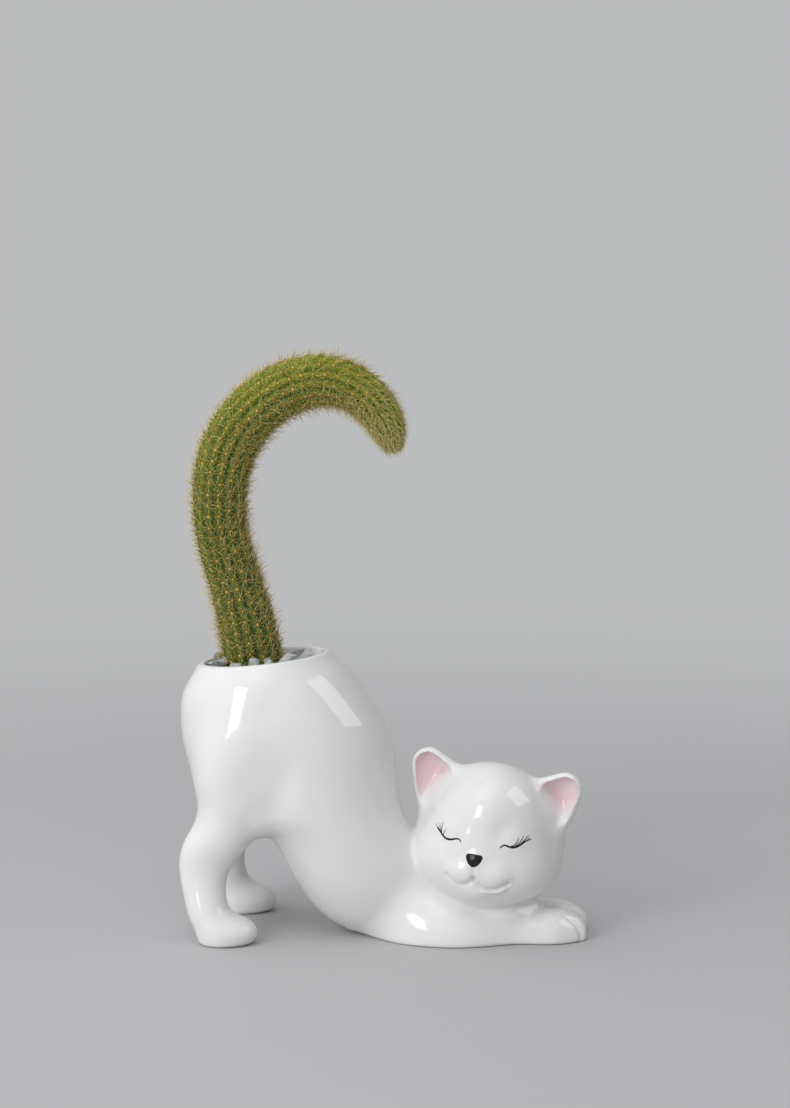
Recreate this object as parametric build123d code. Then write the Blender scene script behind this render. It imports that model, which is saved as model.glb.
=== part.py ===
from build123d import *

# A white glazed ceramic planter in the shape of a stretching cat, with a hooked column cactus in it.
#
# The cat bows with its hips high, its chest and forelegs flat on the table and its head turned to its
# right. The rump is cut off as the mouth of the pot, and the cactus stands in it as the cat's tail.
# The figure is cast from slip in separate moulds, and the castings are luted together edge to edge
# before the glaze is fired: a hollow pot body, two hind legs, two forelegs, the head and two cupped ears.
# Inside are potting soil, the root crown and a layer of stone chips round the stem.
#
# Units are millimetres. +X runs from the rump to the forepaws, +Z is up and the cat faces -Y.
# The origin is on the table, under the middle of the planter.
#
# In every table of shares, x follows overall_length, y and half widths follow overall_width, and
# z follows mouth_height, except in the head's own frame, whose shares follow the head's half sizes.

import math
import os
import random

# The cat's overall sizes
overall_length = 213.0
overall_width = 94.0
mouth_height = 146.8

# The hollow pot body
wall = 4.5
lip_wall = 3.2
lip_bevel = 1.1
floor_wall = 6.0
cut_overrun = 20.0
section_points = 12

# Each row is one section of the body: its belly end (x, z), its back end (x, z) and its half width
body_section_shares = (
    (-0.466, 0.976, -0.140, 1.0245, 0.362),
    (-0.503, 0.875, -0.082, 0.945, 0.430),
    (-0.510, 0.763, -0.012, 0.790, 0.466),
    (-0.496, 0.630, 0.020, 0.655, 0.474),
    (-0.430, 0.470, 0.035, 0.520, 0.458),
    (-0.299, 0.361, 0.050, 0.422, 0.428),
    (-0.219, 0.177, 0.084, 0.340, 0.400),
    (-0.139, 0.045, 0.117, 0.285, 0.375),
    (-0.051, -0.010, 0.159, 0.235, 0.345),
    (0.037, -0.030, 0.194, 0.180, 0.300),
    (0.103, -0.040, 0.220, 0.110, 0.230),
)

# The hind legs, from the hip down: height, middle (x, y), half length and half width
hind_leg_section_shares = (
    (0.780, -0.371, -0.150, 0.0600, 0.150),
    (0.690, -0.378, -0.212, 0.0870, 0.205),
    (0.560, -0.368, -0.250, 0.0865, 0.222),
    (0.440, -0.368, -0.290, 0.0870, 0.200),
    (0.350, -0.402, -0.342, 0.0835, 0.152),
    (0.265, -0.427, -0.363, 0.0657, 0.129),
    (0.160, -0.427, -0.373, 0.0535, 0.117),
    (0.095, -0.405, -0.378, 0.0630, 0.119),
    (0.040, -0.381, -0.378, 0.0740, 0.122),
    (0.000, -0.380, -0.378, 0.0655, 0.115),
)

# The forelegs, from the shoulder to the toes: x, middle (y, z), half width and half height
foreleg_section_shares = (
    (-0.040, -0.085, 0.150, 0.100, 0.080),
    (0.040, -0.160, 0.122, 0.150, 0.125),
    (0.110, -0.200, 0.092, 0.172, 0.113),
    (0.197, -0.223, 0.065, 0.165, 0.089),
    (0.272, -0.186, 0.051, 0.149, 0.0715),
    (0.347, -0.149, 0.044, 0.131, 0.065),
    (0.423, -0.126, 0.044, 0.119, 0.066),
    (0.470, -0.120, 0.041, 0.104, 0.060),
    (0.496, -0.117, 0.0375, 0.074, 0.043),
    (0.507, -0.117, 0.034, 0.040, 0.022),
)
paw_gap = 0.1

# The head: u runs to the viewer's right, v to the back of the head and w up
head_width = 82.0
head_depth = 65.0
head_height = 75.0
head_turn = 8.0
head_roll = 8.0
head_place_shares = (0.270, -0.085, 0.376)

# The skull from the jaw to the crown: height, middle v, half width and half depth
skull_section_shares = (
    (-0.98, -0.30, 0.16, 0.16),
    (-0.90, -0.24, 0.46, 0.46),
    (-0.70, -0.14, 0.80, 0.76),
    (-0.38, -0.04, 1.00, 0.95),
    (0.00, 0.00, 0.99, 1.00),
    (0.40, 0.02, 0.88, 0.91),
    (0.72, 0.02, 0.66, 0.69),
    (0.92, 0.02, 0.38, 0.40),
    (0.99, 0.02, 0.12, 0.14),
)

# Round forms of the muzzle: middle (u, v, w) and radius, as shares of the head's half sizes
whisker_pad_shares = (0.18, -0.84, -0.36, 0.24)
chin_shares = (0.0, -0.74, -0.62, 0.21)
nose_shares = (0.0, -1.00, -0.20, 0.10)

# The ears: how far they stand out of the head, and their root as shares of the head's half sizes
ear_length = 22.0
ear_half_width = 15.2
ear_half_depth = 7.5
ear_wall = 2.6
ear_lean = 38.0
ear_root_shares = (0.71, 0.08, 0.53)

# From inside the head to the tip: height, half width and half depth, as shares of the ear's sizes
ear_section_shares = (
    (-0.50, 1.06, 1.10),
    (0.00, 1.00, 1.00),
    (0.34, 0.84, 0.86),
    (0.66, 0.62, 0.66),
    (0.88, 0.42, 0.48),
    (1.00, 0.16, 0.24),
)

# The cactus stem: its centre line (x, z), its radius at each point, and its round tip
stem_radius = 15.0
stem_path_shares = (
    (-0.319, 0.900),
    (-0.333, 1.020),
    (-0.366, 1.240),
    (-0.404, 1.431),
    (-0.411, 1.580),
    (-0.390, 1.744),
    (-0.324, 1.887),
    (-0.230, 1.975),
    (-0.136, 1.996),
    (-0.052, 1.945),
    (0.000, 1.853),
    (0.026, 1.737),
)
stem_radius_shares = (1.06, 1.08, 1.02, 1.00, 1.00, 1.01, 1.03, 1.02, 0.97, 0.90, 0.80, 0.68)
stem_rising_share = 0.5
stem_dome_share = 0.05
stem_dome_end_share = 0.35

# The ribbed skin with its spines, one spine to every second cushion on each rib
rib_count = 15
rib_height = 1.3
skin_thickness = 1.8
skin_rows = 25
spine_length = 6.0
spine_width = 0.8
spine_rise = 24.0
spine_swing = 16.0

# The planting
soil_drop = 6.6
soil_level = mouth_height - soil_drop
soil_clearance = 0.3
stem_buried = 9.0
crown_depth = 22.0
crown_taper_share = 0.4
root_count = 5
root_length = 32.0
root_radius = 2.8
root_tip_radius = 0.8
root_spread = 36.0
root_sides = 6

# Stone chips: rings round the stem, and a second layer banked up towards the cat's back
chip_length = 8.2
chip_height = 5.2
chip_gap = 0.3
chip_rings = 3
chip_corners = 6
chip_seed = 4
chip_bank_angle = 62.0
chip_ring_shares = ((0.0, 0.82), (0.45, 1.0), (1.0, 0.66))
chip_rough_share = 0.22
grey_share = 0.4


def place(x_share, y_share, z_share):
    """A point given in shares of the cat's length, width and mouth height."""
    return Vector(x_share * overall_length, y_share * overall_width, z_share * mouth_height)


def ellipse_points(centre, u_axis, v_axis, half_u, half_v, count):
    """Points spread round an ellipse."""
    angles = [2 * math.pi * i / count for i in range(count)]
    return [centre + u_axis * (half_u * math.cos(a)) + v_axis * (half_v * math.sin(a)) for a in angles]


def oval(centre, u_axis, v_axis, half_u, half_v):
    """A smooth closed oval."""
    points = ellipse_points(centre, u_axis, v_axis, half_u, half_v, section_points)
    return Wire([Edge.make_spline(points, periodic=True)])


def above(height):
    """A block that holds everything over a height."""
    reach = overall_length + mouth_height
    return Pos(0, 0, height) * Box(2 * reach, 2 * reach, reach, align=(Align.CENTER, Align.CENTER, Align.MIN))


def right_side(gap):
    """A block that holds everything on the cat's right of its middle plane, past a gap."""
    reach = overall_length + mouth_height
    return Pos(0, -gap, 0) * Box(2 * reach, reach, 2 * reach, align=(Align.CENTER, Align.MAX, Align.CENTER))


def body_rows(thickness):
    """The rows of the body's sections, the last one drawn back from the chest end by a wall."""
    *rows, before, last = body_section_shares
    middles = [place((row[0] + row[2]) / 2, 0, (row[1] + row[3]) / 2) for row in (before, last)]
    part = thickness / (middles[1] - middles[0]).length
    drawn_back = tuple(b * part + a * (1 - part) for a, b in zip(last, before))
    return [*rows, before, drawn_back]


def body_ovals(thickness):
    """The body's sections, drawn in by a wall that thins towards the lip."""
    ovals = []
    for i, (belly_x, belly_z, back_x, back_z, width_share) in enumerate(body_rows(thickness)):
        belly, back = place(belly_x, 0, belly_z), place(back_x, 0, back_z)
        inset = thickness if i else thickness * lip_wall / wall
        half_length = (back - belly).length / 2 - inset
        half_width = width_share * overall_width - inset
        middle, across = (belly + back) / 2, (back - belly).normalized()
        ovals.append(oval(middle, across, Vector(0, 1, 0), half_length, half_width))
    return ovals


def mouth_normal():
    """The direction that the mouth faces, tipped towards the rump."""
    belly_x, belly_z, back_x, back_z, _ = body_section_shares[0]
    across = (place(back_x, 0, back_z) - place(belly_x, 0, belly_z)).normalized()
    return across.cross(Vector(0, 1, 0)).normalized()


def body_outside():
    """The whole outside form of the body, with its flat base."""
    return Part() + Solid.make_loft(body_ovals(0)) & above(0)


def body_inside(thickness, floor):
    """The hollow of the body, closed at the mouth."""
    return Part() + Solid.make_loft(body_ovals(thickness)) & above(floor)


def build_pot_body():
    """The hollow casting, open at the mouth, with its lip eased inside and out."""
    mouth = Face(body_ovals(wall)[0])
    neck = Solid.extrude(mouth, mouth_normal() * cut_overrun)
    shell = body_outside() - body_inside(wall, floor_wall) - neck
    lip = shell.faces().sort_by(Axis((0, 0, 0), tuple(mouth_normal())))[-1]
    return chamfer(lip.edges(), lip_bevel)


def build_hind_leg(outside):
    """The right hind leg, from the hip to the foot, luted against the body."""
    ovals = []
    for height, x, y, half_length, half_width in hind_leg_section_shares:
        centre = place(x, y, height)
        ovals.append(
            oval(centre, Vector(1, 0, 0), Vector(0, 1, 0), half_length * overall_length, half_width * overall_width)
        )
    return Part() + Solid.make_loft(ovals) - outside


def build_foreleg(outside):
    """The right foreleg, flat on the table from the shoulder to the toes."""
    ovals = []
    for x, y, z, half_width, half_height in foreleg_section_shares:
        centre = place(x, y, z)
        ovals.append(
            oval(centre, Vector(0, 1, 0), Vector(0, 0, 1), half_width * overall_width, half_height * mouth_height)
        )
    return (Part() + Solid.make_loft(ovals)) & above(0) & right_side(paw_gap / 2) - outside


def head_place():
    """The frame of the head, turned to the cat's right and rolled."""
    middle = place(*head_place_shares)
    return Pos(*middle) * Rot(0, 0, -head_turn) * Rot(0, head_roll, 0)


def muzzle_form(shares, side=1):
    """One round form of the muzzle, in the head's frame."""
    u, v, w, radius = shares
    return Pos(side * u * head_width / 2, v * head_depth / 2, w * head_height / 2) * Sphere(radius * head_depth / 2)


def head_outside():
    """The skull with its full cheeks, whisker pads, chin and nose."""
    ovals = []
    for height, v, half_width, half_depth in skull_section_shares:
        centre = Vector(0, v * head_depth / 2, height * head_height / 2)
        ovals.append(
            oval(centre, Vector(0, 1, 0), Vector(1, 0, 0), half_depth * head_depth / 2, half_width * head_width / 2)
        )
    head = Part() + Solid.make_loft(ovals)
    forms = [muzzle_form(whisker_pad_shares, side) for side in (1, -1)]
    forms += [muzzle_form(chin_shares), muzzle_form(nose_shares)]
    return head_place() * head.fuse(*forms)


def build_ear(side, head):
    """One cupped ear, standing on the head."""
    lean = math.radians(ear_lean)
    along = Vector(side * math.sin(lean), 0, math.cos(lean))
    across = Vector(side * math.cos(lean), 0, -math.sin(lean))
    back = Vector(0, 1, 0)
    u, v, w = ear_root_shares
    root = Vector(side * u * head_width / 2, v * head_depth / 2, w * head_height / 2)
    outer, cup = [], []
    for height, width, depth in ear_section_shares:
        centre = root + along * (height * ear_length)
        half_width, half_depth = width * ear_half_width, depth * ear_half_depth
        outer.append(oval(centre, across, back, half_width, half_depth))
        if height < 1:
            front = centre - back * (2 * half_depth)
            cup.append(oval(front, across, back, half_width - ear_wall, 3 * half_depth - ear_wall))
    ear = head_place() * (Part() + Solid.make_loft(outer) - Solid.make_loft(cup))
    return ear - head


def stem_path():
    """The centre line of the stem."""
    return Edge.make_spline([place(x, 0, z) for x, z in stem_path_shares])


def stem_radius_at(share):
    """The stem's radius at a share of its length, closing in a dome at the tip."""
    spans = len(stem_radius_shares) - 1
    low = min(int(share * spans), spans - 1)
    part = share * spans - low
    radius = stem_radius * (stem_radius_shares[low] * (1 - part) + stem_radius_shares[low + 1] * part)
    into_dome = max(0, share - 1 + stem_dome_share) / stem_dome_share
    return radius * (stem_dome_end_share + (1 - stem_dome_end_share) * math.sqrt(max(0, 1 - into_dome**2)))


def stem_station(path, share):
    """The middle, the tangent and the outward axis of the stem at a share of its length."""
    tangent = path.tangent_at(share)
    return path.position_at(share), tangent, tangent.cross(Vector(0, 1, 0)).normalized()


def stem_ring(path, share, inset, ribs):
    """A closed ring round the stem: plain, or with a crest on every rib."""
    centre, _, outward = stem_station(path, share)
    radius = stem_radius_at(share) - inset
    corners = []
    steps = 2 * rib_count if ribs else rib_count
    for i in range(steps):
        angle = 2 * math.pi * i / steps
        crest = radius if i % 2 == 0 or not ribs else radius - rib_height
        corners.append(centre + Vector(0, 1, 0) * (crest * math.cos(angle)) + outward * (crest * math.sin(angle)))
    return Wire.make_polygon(corners)


def share_at_height(path, height):
    """The share of the stem's length at which its rising part reaches a height."""
    low, high = 0.0, stem_rising_share
    for _ in range(30):
        middle = (low + high) / 2
        if path.position_at(middle).Z < height:
            low = middle
        else:
            high = middle
    return low


def stem_loft(path, shares, inset, ribs):
    """The stem's form through its rings."""
    return Part() + Solid.make_loft([stem_ring(path, share, inset, ribs) for share in shares], ruled=True)


def spine(path, row_shares, row, rib):
    """One three-sided spine, rooted in the skin on the crest of a rib, between two rings."""
    low, high = row_shares
    centre, tangent, outward = stem_station(path, (low + high) / 2)
    angle = 2 * math.pi * rib / rib_count
    normal = Vector(0, 1, 0) * math.cos(angle) + outward * math.sin(angle)
    around = tangent.cross(normal).normalized()
    swing = spine_swing if row % 2 else -spine_swing
    lean = tangent * math.tan(math.radians(spine_rise)) + around * math.tan(math.radians(swing))
    way = (normal + lean).normalized()
    crest = (stem_radius_at(low) + stem_radius_at(high)) / 2
    foot = centre + normal * (crest - skin_thickness / 2)
    side_axis = way.cross(tangent).normalized()
    corners = ellipse_points(foot, side_axis, way.cross(side_axis), spine_width / 2, spine_width / 2, 3)
    point = foot + way * (spine_length + skin_thickness / 2)
    return Solid.make_loft([Wire.make_polygon(corners), Vertex(*point)], ruled=True)


def build_skin(path, shares, core):
    """The ribbed skin of the stem above the soil, with its spines clear of the stone chips."""
    skin = (stem_loft(path, shares, 0, True) & above(soil_level)) - core
    spines = []
    for row, row_shares in enumerate(zip(shares, shares[1:])):
        if path.position_at(row_shares[0]).Z > soil_level + 2 * chip_height:
            spines += [spine(path, row_shares, row, rib) for rib in range(rib_count)]
    return skin.fuse(*spines)


def build_roots(path, start):
    """The root crown under the stem, with its main roots."""
    centre, tangent, outward = stem_station(path, start)
    down = tangent * -1
    top = stem_ring(path, start, skin_thickness, False)
    width = crown_taper_share * (stem_radius_at(start) - skin_thickness)
    foot = centre + down * crown_depth
    bottom = Wire.make_polygon(ellipse_points(foot, Vector(0, 1, 0), outward, width, width, rib_count))
    roots = Part() + Solid.make_loft([top, bottom], ruled=True)
    spread = math.radians(root_spread)
    for i in range(root_count):
        angle = 2 * math.pi * i / root_count
        sideways = outward * math.cos(angle) + Vector(0, 1, 0) * math.sin(angle)
        way = down * math.cos(spread) + sideways * math.sin(spread)
        across = way.cross(tangent).normalized()
        rings = []
        for distance, radius in ((crown_depth / 2, root_radius), (root_length, root_tip_radius)):
            middle = centre + down * (crown_depth / 2) + way * (distance - crown_depth / 2)
            corners = ellipse_points(middle, across, way.cross(across), radius, radius, root_sides)
            rings.append(Wire.make_polygon(corners))
        roots += Solid.make_loft(rings, ruled=True)
    return roots


def build_soil(roots, core):
    """The soil that fills the pot to a level surface, round the roots and the foot of the stem."""
    soil = body_inside(wall + soil_clearance, floor_wall) - above(soil_level)
    return soil - roots - core


def stone_chip(middle, draw):
    """One broken stone chip with a flat foot and a flat crown."""
    turn = draw.uniform(0, 2 * math.pi)
    reach = [chip_length / 2 * (1 - draw.uniform(0, chip_rough_share)) for _ in range(chip_corners)]
    rings = []
    for rise_share, width_share in chip_ring_shares:
        corners = []
        for i in range(chip_corners):
            angle = turn + 2 * math.pi * i / chip_corners
            width = reach[i] * width_share
            side = Vector(math.cos(angle) * width, math.sin(angle) * width, rise_share * chip_height)
            corners.append(middle + side)
        rings.append(Wire.make_polygon(corners))
    return Solid.make_loft(rings, ruled=True)


def chip_places(stem):
    """Where the chips lie: rings round the stem, as far as the mouth's wall."""
    belly_x, _, back_x, _, width_share = body_section_shares[0]
    margin = wall + soil_clearance + chip_length / 2
    mouth_x = (belly_x + back_x) / 2 * overall_length
    room_x = (back_x - belly_x) / 2 * overall_length - margin
    room_y = width_share * overall_width - margin
    step = chip_length + chip_gap
    places = []
    for ring in range(chip_rings):
        radius = stem_radius * max(stem_radius_shares[:2]) + chip_gap + (ring + 1 / 2) * step
        count = int(math.pi / math.asin(step / 2 / radius))
        for i in range(count):
            angle = 2 * math.pi * i / count
            x, y = stem.X + radius * math.cos(angle), radius * math.sin(angle)
            if ((x - mouth_x) / room_x) ** 2 + (y / room_y) ** 2 <= 1:
                places.append((x, y, angle))
    return places


def build_chips(path):
    """The stone chips in two colours, on the soil, with more of them banked up on the cat's back side."""
    draw = random.Random(chip_seed)
    stem = path.position_at(share_at_height(path, soil_level))
    chips = {"gravel_pale": [], "gravel_grey": []}
    for x, y, angle in chip_places(stem):
        banked = abs(math.remainder(angle, 2 * math.pi)) < math.radians(chip_bank_angle)
        for layer in range(2 if banked else 1):
            chip = stone_chip(Vector(x, y, soil_level + layer * chip_height), draw)
            chips["gravel_grey" if draw.random() < grey_share else "gravel_pale"].append(chip)
    return {name: Part() + solids for name, solids in chips.items()}


def build_nodes():
    """Every piece of the planter by name."""
    outside = body_outside()
    nodes = {"pot_body": build_pot_body()}
    for name, leg in (("hind_leg", build_hind_leg(outside)), ("foreleg", build_foreleg(outside))):
        nodes[name + "_right"] = leg
        nodes[name + "_left"] = mirror(leg, about=Plane.XZ)
    head = head_outside()
    nodes["head"] = head - outside - nodes["foreleg_left"] - nodes["foreleg_right"]
    for name, side in (("left", 1), ("right", -1)):
        nodes["ear_" + name] = build_ear(side, head)
    path = stem_path()
    start = share_at_height(path, soil_level - stem_buried)
    shares = [start + (1 - start) * i / skin_rows for i in range(skin_rows + 1)]
    nodes["cactus_core"] = stem_loft(path, shares, skin_thickness, False)
    nodes["cactus_roots"] = build_roots(path, start)
    nodes["potting_soil"] = build_soil(nodes["cactus_roots"], nodes["cactus_core"])
    nodes["cactus_skin"] = build_skin(path, shares, nodes["cactus_core"])
    nodes.update(build_chips(path))
    return nodes


os.makedirs("parts", exist_ok=True)
for node_name, solid in build_nodes().items():
    export_step(solid, f"parts/{node_name}.step")
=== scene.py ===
import math

import bmesh
import bpy
import numpy as np
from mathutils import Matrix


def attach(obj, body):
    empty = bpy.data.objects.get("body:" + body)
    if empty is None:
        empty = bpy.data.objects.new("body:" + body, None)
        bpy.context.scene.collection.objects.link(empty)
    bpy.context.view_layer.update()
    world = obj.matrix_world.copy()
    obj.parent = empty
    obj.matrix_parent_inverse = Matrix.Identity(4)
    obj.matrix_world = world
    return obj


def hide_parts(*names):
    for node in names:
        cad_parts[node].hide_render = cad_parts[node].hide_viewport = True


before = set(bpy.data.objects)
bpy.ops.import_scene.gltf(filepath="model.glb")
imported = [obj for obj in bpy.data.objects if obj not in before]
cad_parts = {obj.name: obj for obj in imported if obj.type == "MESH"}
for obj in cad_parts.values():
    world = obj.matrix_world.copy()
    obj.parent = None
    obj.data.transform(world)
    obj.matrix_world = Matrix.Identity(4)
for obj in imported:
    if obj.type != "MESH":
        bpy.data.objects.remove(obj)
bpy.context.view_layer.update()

# The dressed planter: one glazed ceramic cat with its painted face, the hooked cactus with its spines,
# the stone chips and the soil. Lengths are millimetres until a mesh is made. A share of length, width or
# height follows the cat's own sizes, as it does in the solids.

MM = 0.001
CAT_LENGTH = 213.0
CAT_WIDTH = 94.0
MOUTH_HEIGHT = 146.8
WALL = 4.5
LIP_WALL = 3.0
SOIL_LEVEL = 140.2
TINY = 1e-9


# Curves and smooth distances

def cubic(knots, rows, samples=2000):
    """A natural cubic spline through rows of numbers, as a function that reads a fine table of it."""
    x, y = np.asarray(knots, float), np.asarray(rows, float)
    gaps = np.diff(x)
    system, right = np.eye(len(x)), np.zeros_like(y)
    for i in range(1, len(x) - 1):
        system[i, i - 1:i + 2] = gaps[i - 1], 2 * (gaps[i - 1] + gaps[i]), gaps[i]
        right[i] = 6 * ((y[i + 1] - y[i]) / gaps[i] - (y[i] - y[i - 1]) / gaps[i - 1])
    bend = np.linalg.solve(system, right)
    t = np.linspace(x[0], x[-1], samples)
    i = np.clip(np.searchsorted(x, t, side="right") - 1, 0, len(x) - 2)
    gap = gaps[i][:, None]
    a = (x[i + 1] - t)[:, None] / gap
    b = 1 - a
    table = a * y[i] + b * y[i + 1] + ((a**3 - a) * bend[i] + (b**3 - b) * bend[i + 1]) * gap**2 / 6

    def read(value):
        return [np.interp(value, t, column) for column in table.T]

    read.span = (x[0], x[-1])
    return read


def share_curve(shares, sizes):
    """A curve through a table of shares of some sizes, read by its first column."""
    rows = np.array(sorted(shares)) * sizes
    return cubic(rows[:, 0], rows[:, 1:])


def ramp(value, low, high):
    """A smooth step from 0 to 1 between two values."""
    t = np.clip((value - low) / (high - low), 0, 1)
    return t * t * (3 - 2 * t)


def unit(v):
    """Vectors brought to a length of 1."""
    return v / np.sqrt((v**2).sum(1))[:, None]


def ellipse_distance(u, v, half_u, half_v):
    """Nearly the distance to an ellipse's edge, below zero inside it."""
    ratio = np.sqrt((u / half_u) ** 2 + (v / half_v) ** 2)
    slope = np.sqrt((u / half_u**2) ** 2 + (v / half_v**2) ** 2)
    low, high = np.minimum(half_u, half_v), np.maximum(half_u, half_v)
    return (ratio - 1) * np.clip(ratio / np.maximum(slope, TINY), low, high)


def ball_distance(p, centre, halves):
    """Nearly the distance to an ellipsoid, below zero inside it."""
    halves = np.asarray(halves, float)
    q = (p - np.asarray(centre, float)) / halves
    ratio = np.sqrt((q**2).sum(1))
    slope = np.sqrt(((q / halves) ** 2).sum(1))
    return (ratio - 1) * np.clip(ratio / np.maximum(slope, TINY), halves.min(), halves.max())


def join(a, b, blend):
    """The union of two forms with a soft fillet."""
    h = np.maximum(blend - np.abs(a - b), 0) / blend
    return np.minimum(a, b) - h * h * blend / 4


def carve(a, b, blend):
    """Form a with form b cut away, its edge rounded."""
    return -join(-a, b, blend)


def overlap(a, b, blend):
    """What two forms share, its edge rounded."""
    return -join(-a, -b, blend)


def line_distance(points, u, w):
    """The distance in a plane to a line of points."""
    best = np.full(len(u), np.inf)
    for (u0, w0), (u1, w1) in zip(points, points[1:]):
        du, dw = u1 - u0, w1 - w0
        t = np.clip(((u - u0) * du + (w - w0) * dw) / (du * du + dw * dw), 0, 1)
        best = np.minimum(best, (u - u0 - t * du) ** 2 + (w - w0 - t * dw) ** 2)
    return np.sqrt(best)


def mark(points, u, w, width):
    """A soft mark of height 1 along a line of points."""
    return np.exp(-((line_distance(points, u, w) / width) ** 2))


def dome(u, w, middle_u, middle_w, reach_u, reach_w):
    """A soft dome of height 1 over a place."""
    return np.exp(-(((u - middle_u) / reach_u) ** 2) - ((w - middle_w) / reach_w) ** 2)


# The body: belly end and back end (x, z) and half width of each section, from over the mouth to the chest
BODY_SECTION_SHARES = (
    (-0.440, 1.115, -0.195, 1.140, 0.300),
    (-0.466, 0.976, -0.140, 1.0245, 0.362),
    (-0.503, 0.875, -0.082, 0.945, 0.430),
    (-0.510, 0.763, -0.005, 0.790, 0.466),
    (-0.496, 0.630, 0.025, 0.655, 0.474),
    (-0.430, 0.470, 0.035, 0.520, 0.458),
    (-0.299, 0.361, 0.050, 0.422, 0.428),
    (-0.219, 0.177, 0.084, 0.340, 0.400),
    (-0.139, 0.045, 0.117, 0.285, 0.345),
    (-0.051, -0.010, 0.159, 0.235, 0.285),
    (0.037, -0.030, 0.194, 0.180, 0.262),
    (0.103, -0.040, 0.220, 0.110, 0.205),
)
BODY_SIZES = (CAT_LENGTH, MOUTH_HEIGHT, CAT_LENGTH, MOUTH_HEIGHT, CAT_WIDTH)
MOUTH_SECTION = 1
CAVITY_FLOOR = 6.0

# The grid of whole millimetres (x, z) on which the body's sections are found, and how finely they are cut
BODY_GRID = ((-116.0, 60.0), (-14.0, 172.0))
SECTION_CUTS = 400

# How far the wall's inner side takes to thin out, below the mouth
LIP_DEPTHS = (6, 30)

# The thick collar inside the mouth: a funnel of this middle (x), half length and width, slope and depth,
# with the flare under it and the least half size
MOUTH_MIDDLE = -64.5
COLLAR_HALVES = (31.8, 30.8)
COLLAR_SLOPE = 0.28
COLLAR_DEPTH = 11.0
COLLAR_FLARE = 1.5
COLLAR_LEAST = 1.0

# The hind legs, from the hip down: height, middle (x, y), half length and half width
HIND_LEG_SHARES = (
    (0.900, -0.322, -0.182, 0.0690, 0.207),
    (0.780, -0.338, -0.212, 0.0890, 0.228),
    (0.690, -0.354, -0.230, 0.0920, 0.235),
    (0.560, -0.367, -0.252, 0.0870, 0.220),
    (0.440, -0.371, -0.284, 0.0840, 0.186),
    (0.350, -0.403, -0.322, 0.0820, 0.138),
    (0.265, -0.430, -0.330, 0.0640, 0.112),
    (0.160, -0.428, -0.359, 0.0520, 0.113),
    (0.095, -0.414, -0.379, 0.0530, 0.118),
    (0.040, -0.397, -0.382, 0.0535, 0.121),
    (-0.020, -0.392, -0.378, 0.0460, 0.115),
)

# The toe end of a hind foot: a low rounded knob, its middle (x, y, z), half sizes and blend
FOOT_CENTRE = (-77.4, 35.8, 6.0)
FOOT_HALVES = (14.0, 11.6, 9.2)
FOOT_JOIN = 7.0

# How softly the hidden top end of a hind leg is rounded, in the body
LEG_TOP_ROUND = 15.0

# The shallow valley between thigh and belly: its line (x, z), depth and half width, and the heights,
# the sideways places and the distances from the skin between which it fades in
THIGH_LINE = ((-45.0, 114.0), (-47.0, 100.0), (-49.5, 87.0), (-52.5, 75.0))
THIGH_DEPTH = 1.9
THIGH_REACH = 8.0
THIGH_HEIGHTS = (122.0, 70.0)
THIGH_SIDES = (12.0, 26.0)
THIGH_SKIN = (10.0, 4.0)

# The forelegs, from the shoulder to the toes: x, middle (y, z), half width and half height
FORELEG_SHARES = (
    (-0.065, -0.085, 0.135, 0.030, 0.028),
    (-0.030, -0.105, 0.138, 0.085, 0.085),
    (0.040, -0.160, 0.122, 0.150, 0.125),
    (0.110, -0.200, 0.092, 0.172, 0.113),
    (0.197, -0.223, 0.065, 0.165, 0.089),
    (0.272, -0.186, 0.051, 0.149, 0.0715),
    (0.347, -0.146, 0.044, 0.126, 0.065),
    (0.423, -0.138, 0.044, 0.126, 0.066),
    (0.470, -0.120, 0.041, 0.110, 0.063),
    (0.510, -0.117, 0.038, 0.100, 0.058),
)
FORELEG_UNDER_SHARE = 1.2
PAW_ROUND_START = 92.0
PAW_ROUND_MOST = 0.985
PAW_END = 108.2

# The throat that fills the room between the chin and the forelegs
THROAT_CENTRE = (62.0, -4.0, 15.0)
THROAT_HALVES = (19.0, 21.0, 9.5)
THROAT_BLEND = 6.0

# The web of clay between a thigh and the belly: its middle (x, y, z), half sizes and blend
WEB_CENTRE = (-62.0, 22.0, 65.0)
WEB_HALVES = (10.0, 14.0, 9.0)
WEB_BLEND = 9.0

# How softly the castings run into each other
THIGH_BLEND = 12.0
LEG_BLEND = 8.0
NECK_BLEND = 4.0
PAW_BLEND = 2.0
LIP_BLEND = 1.6
FOOT_BLEND = 2.4


def off_section(ends, x, z):
    """How far places lie off the line between a section's ends, times its length; above 0 to the mouth."""
    bx, bz, tx, tz = ends
    return (tx - bx) * (z - bz) - (tz - bz) * (x - bx)


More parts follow.
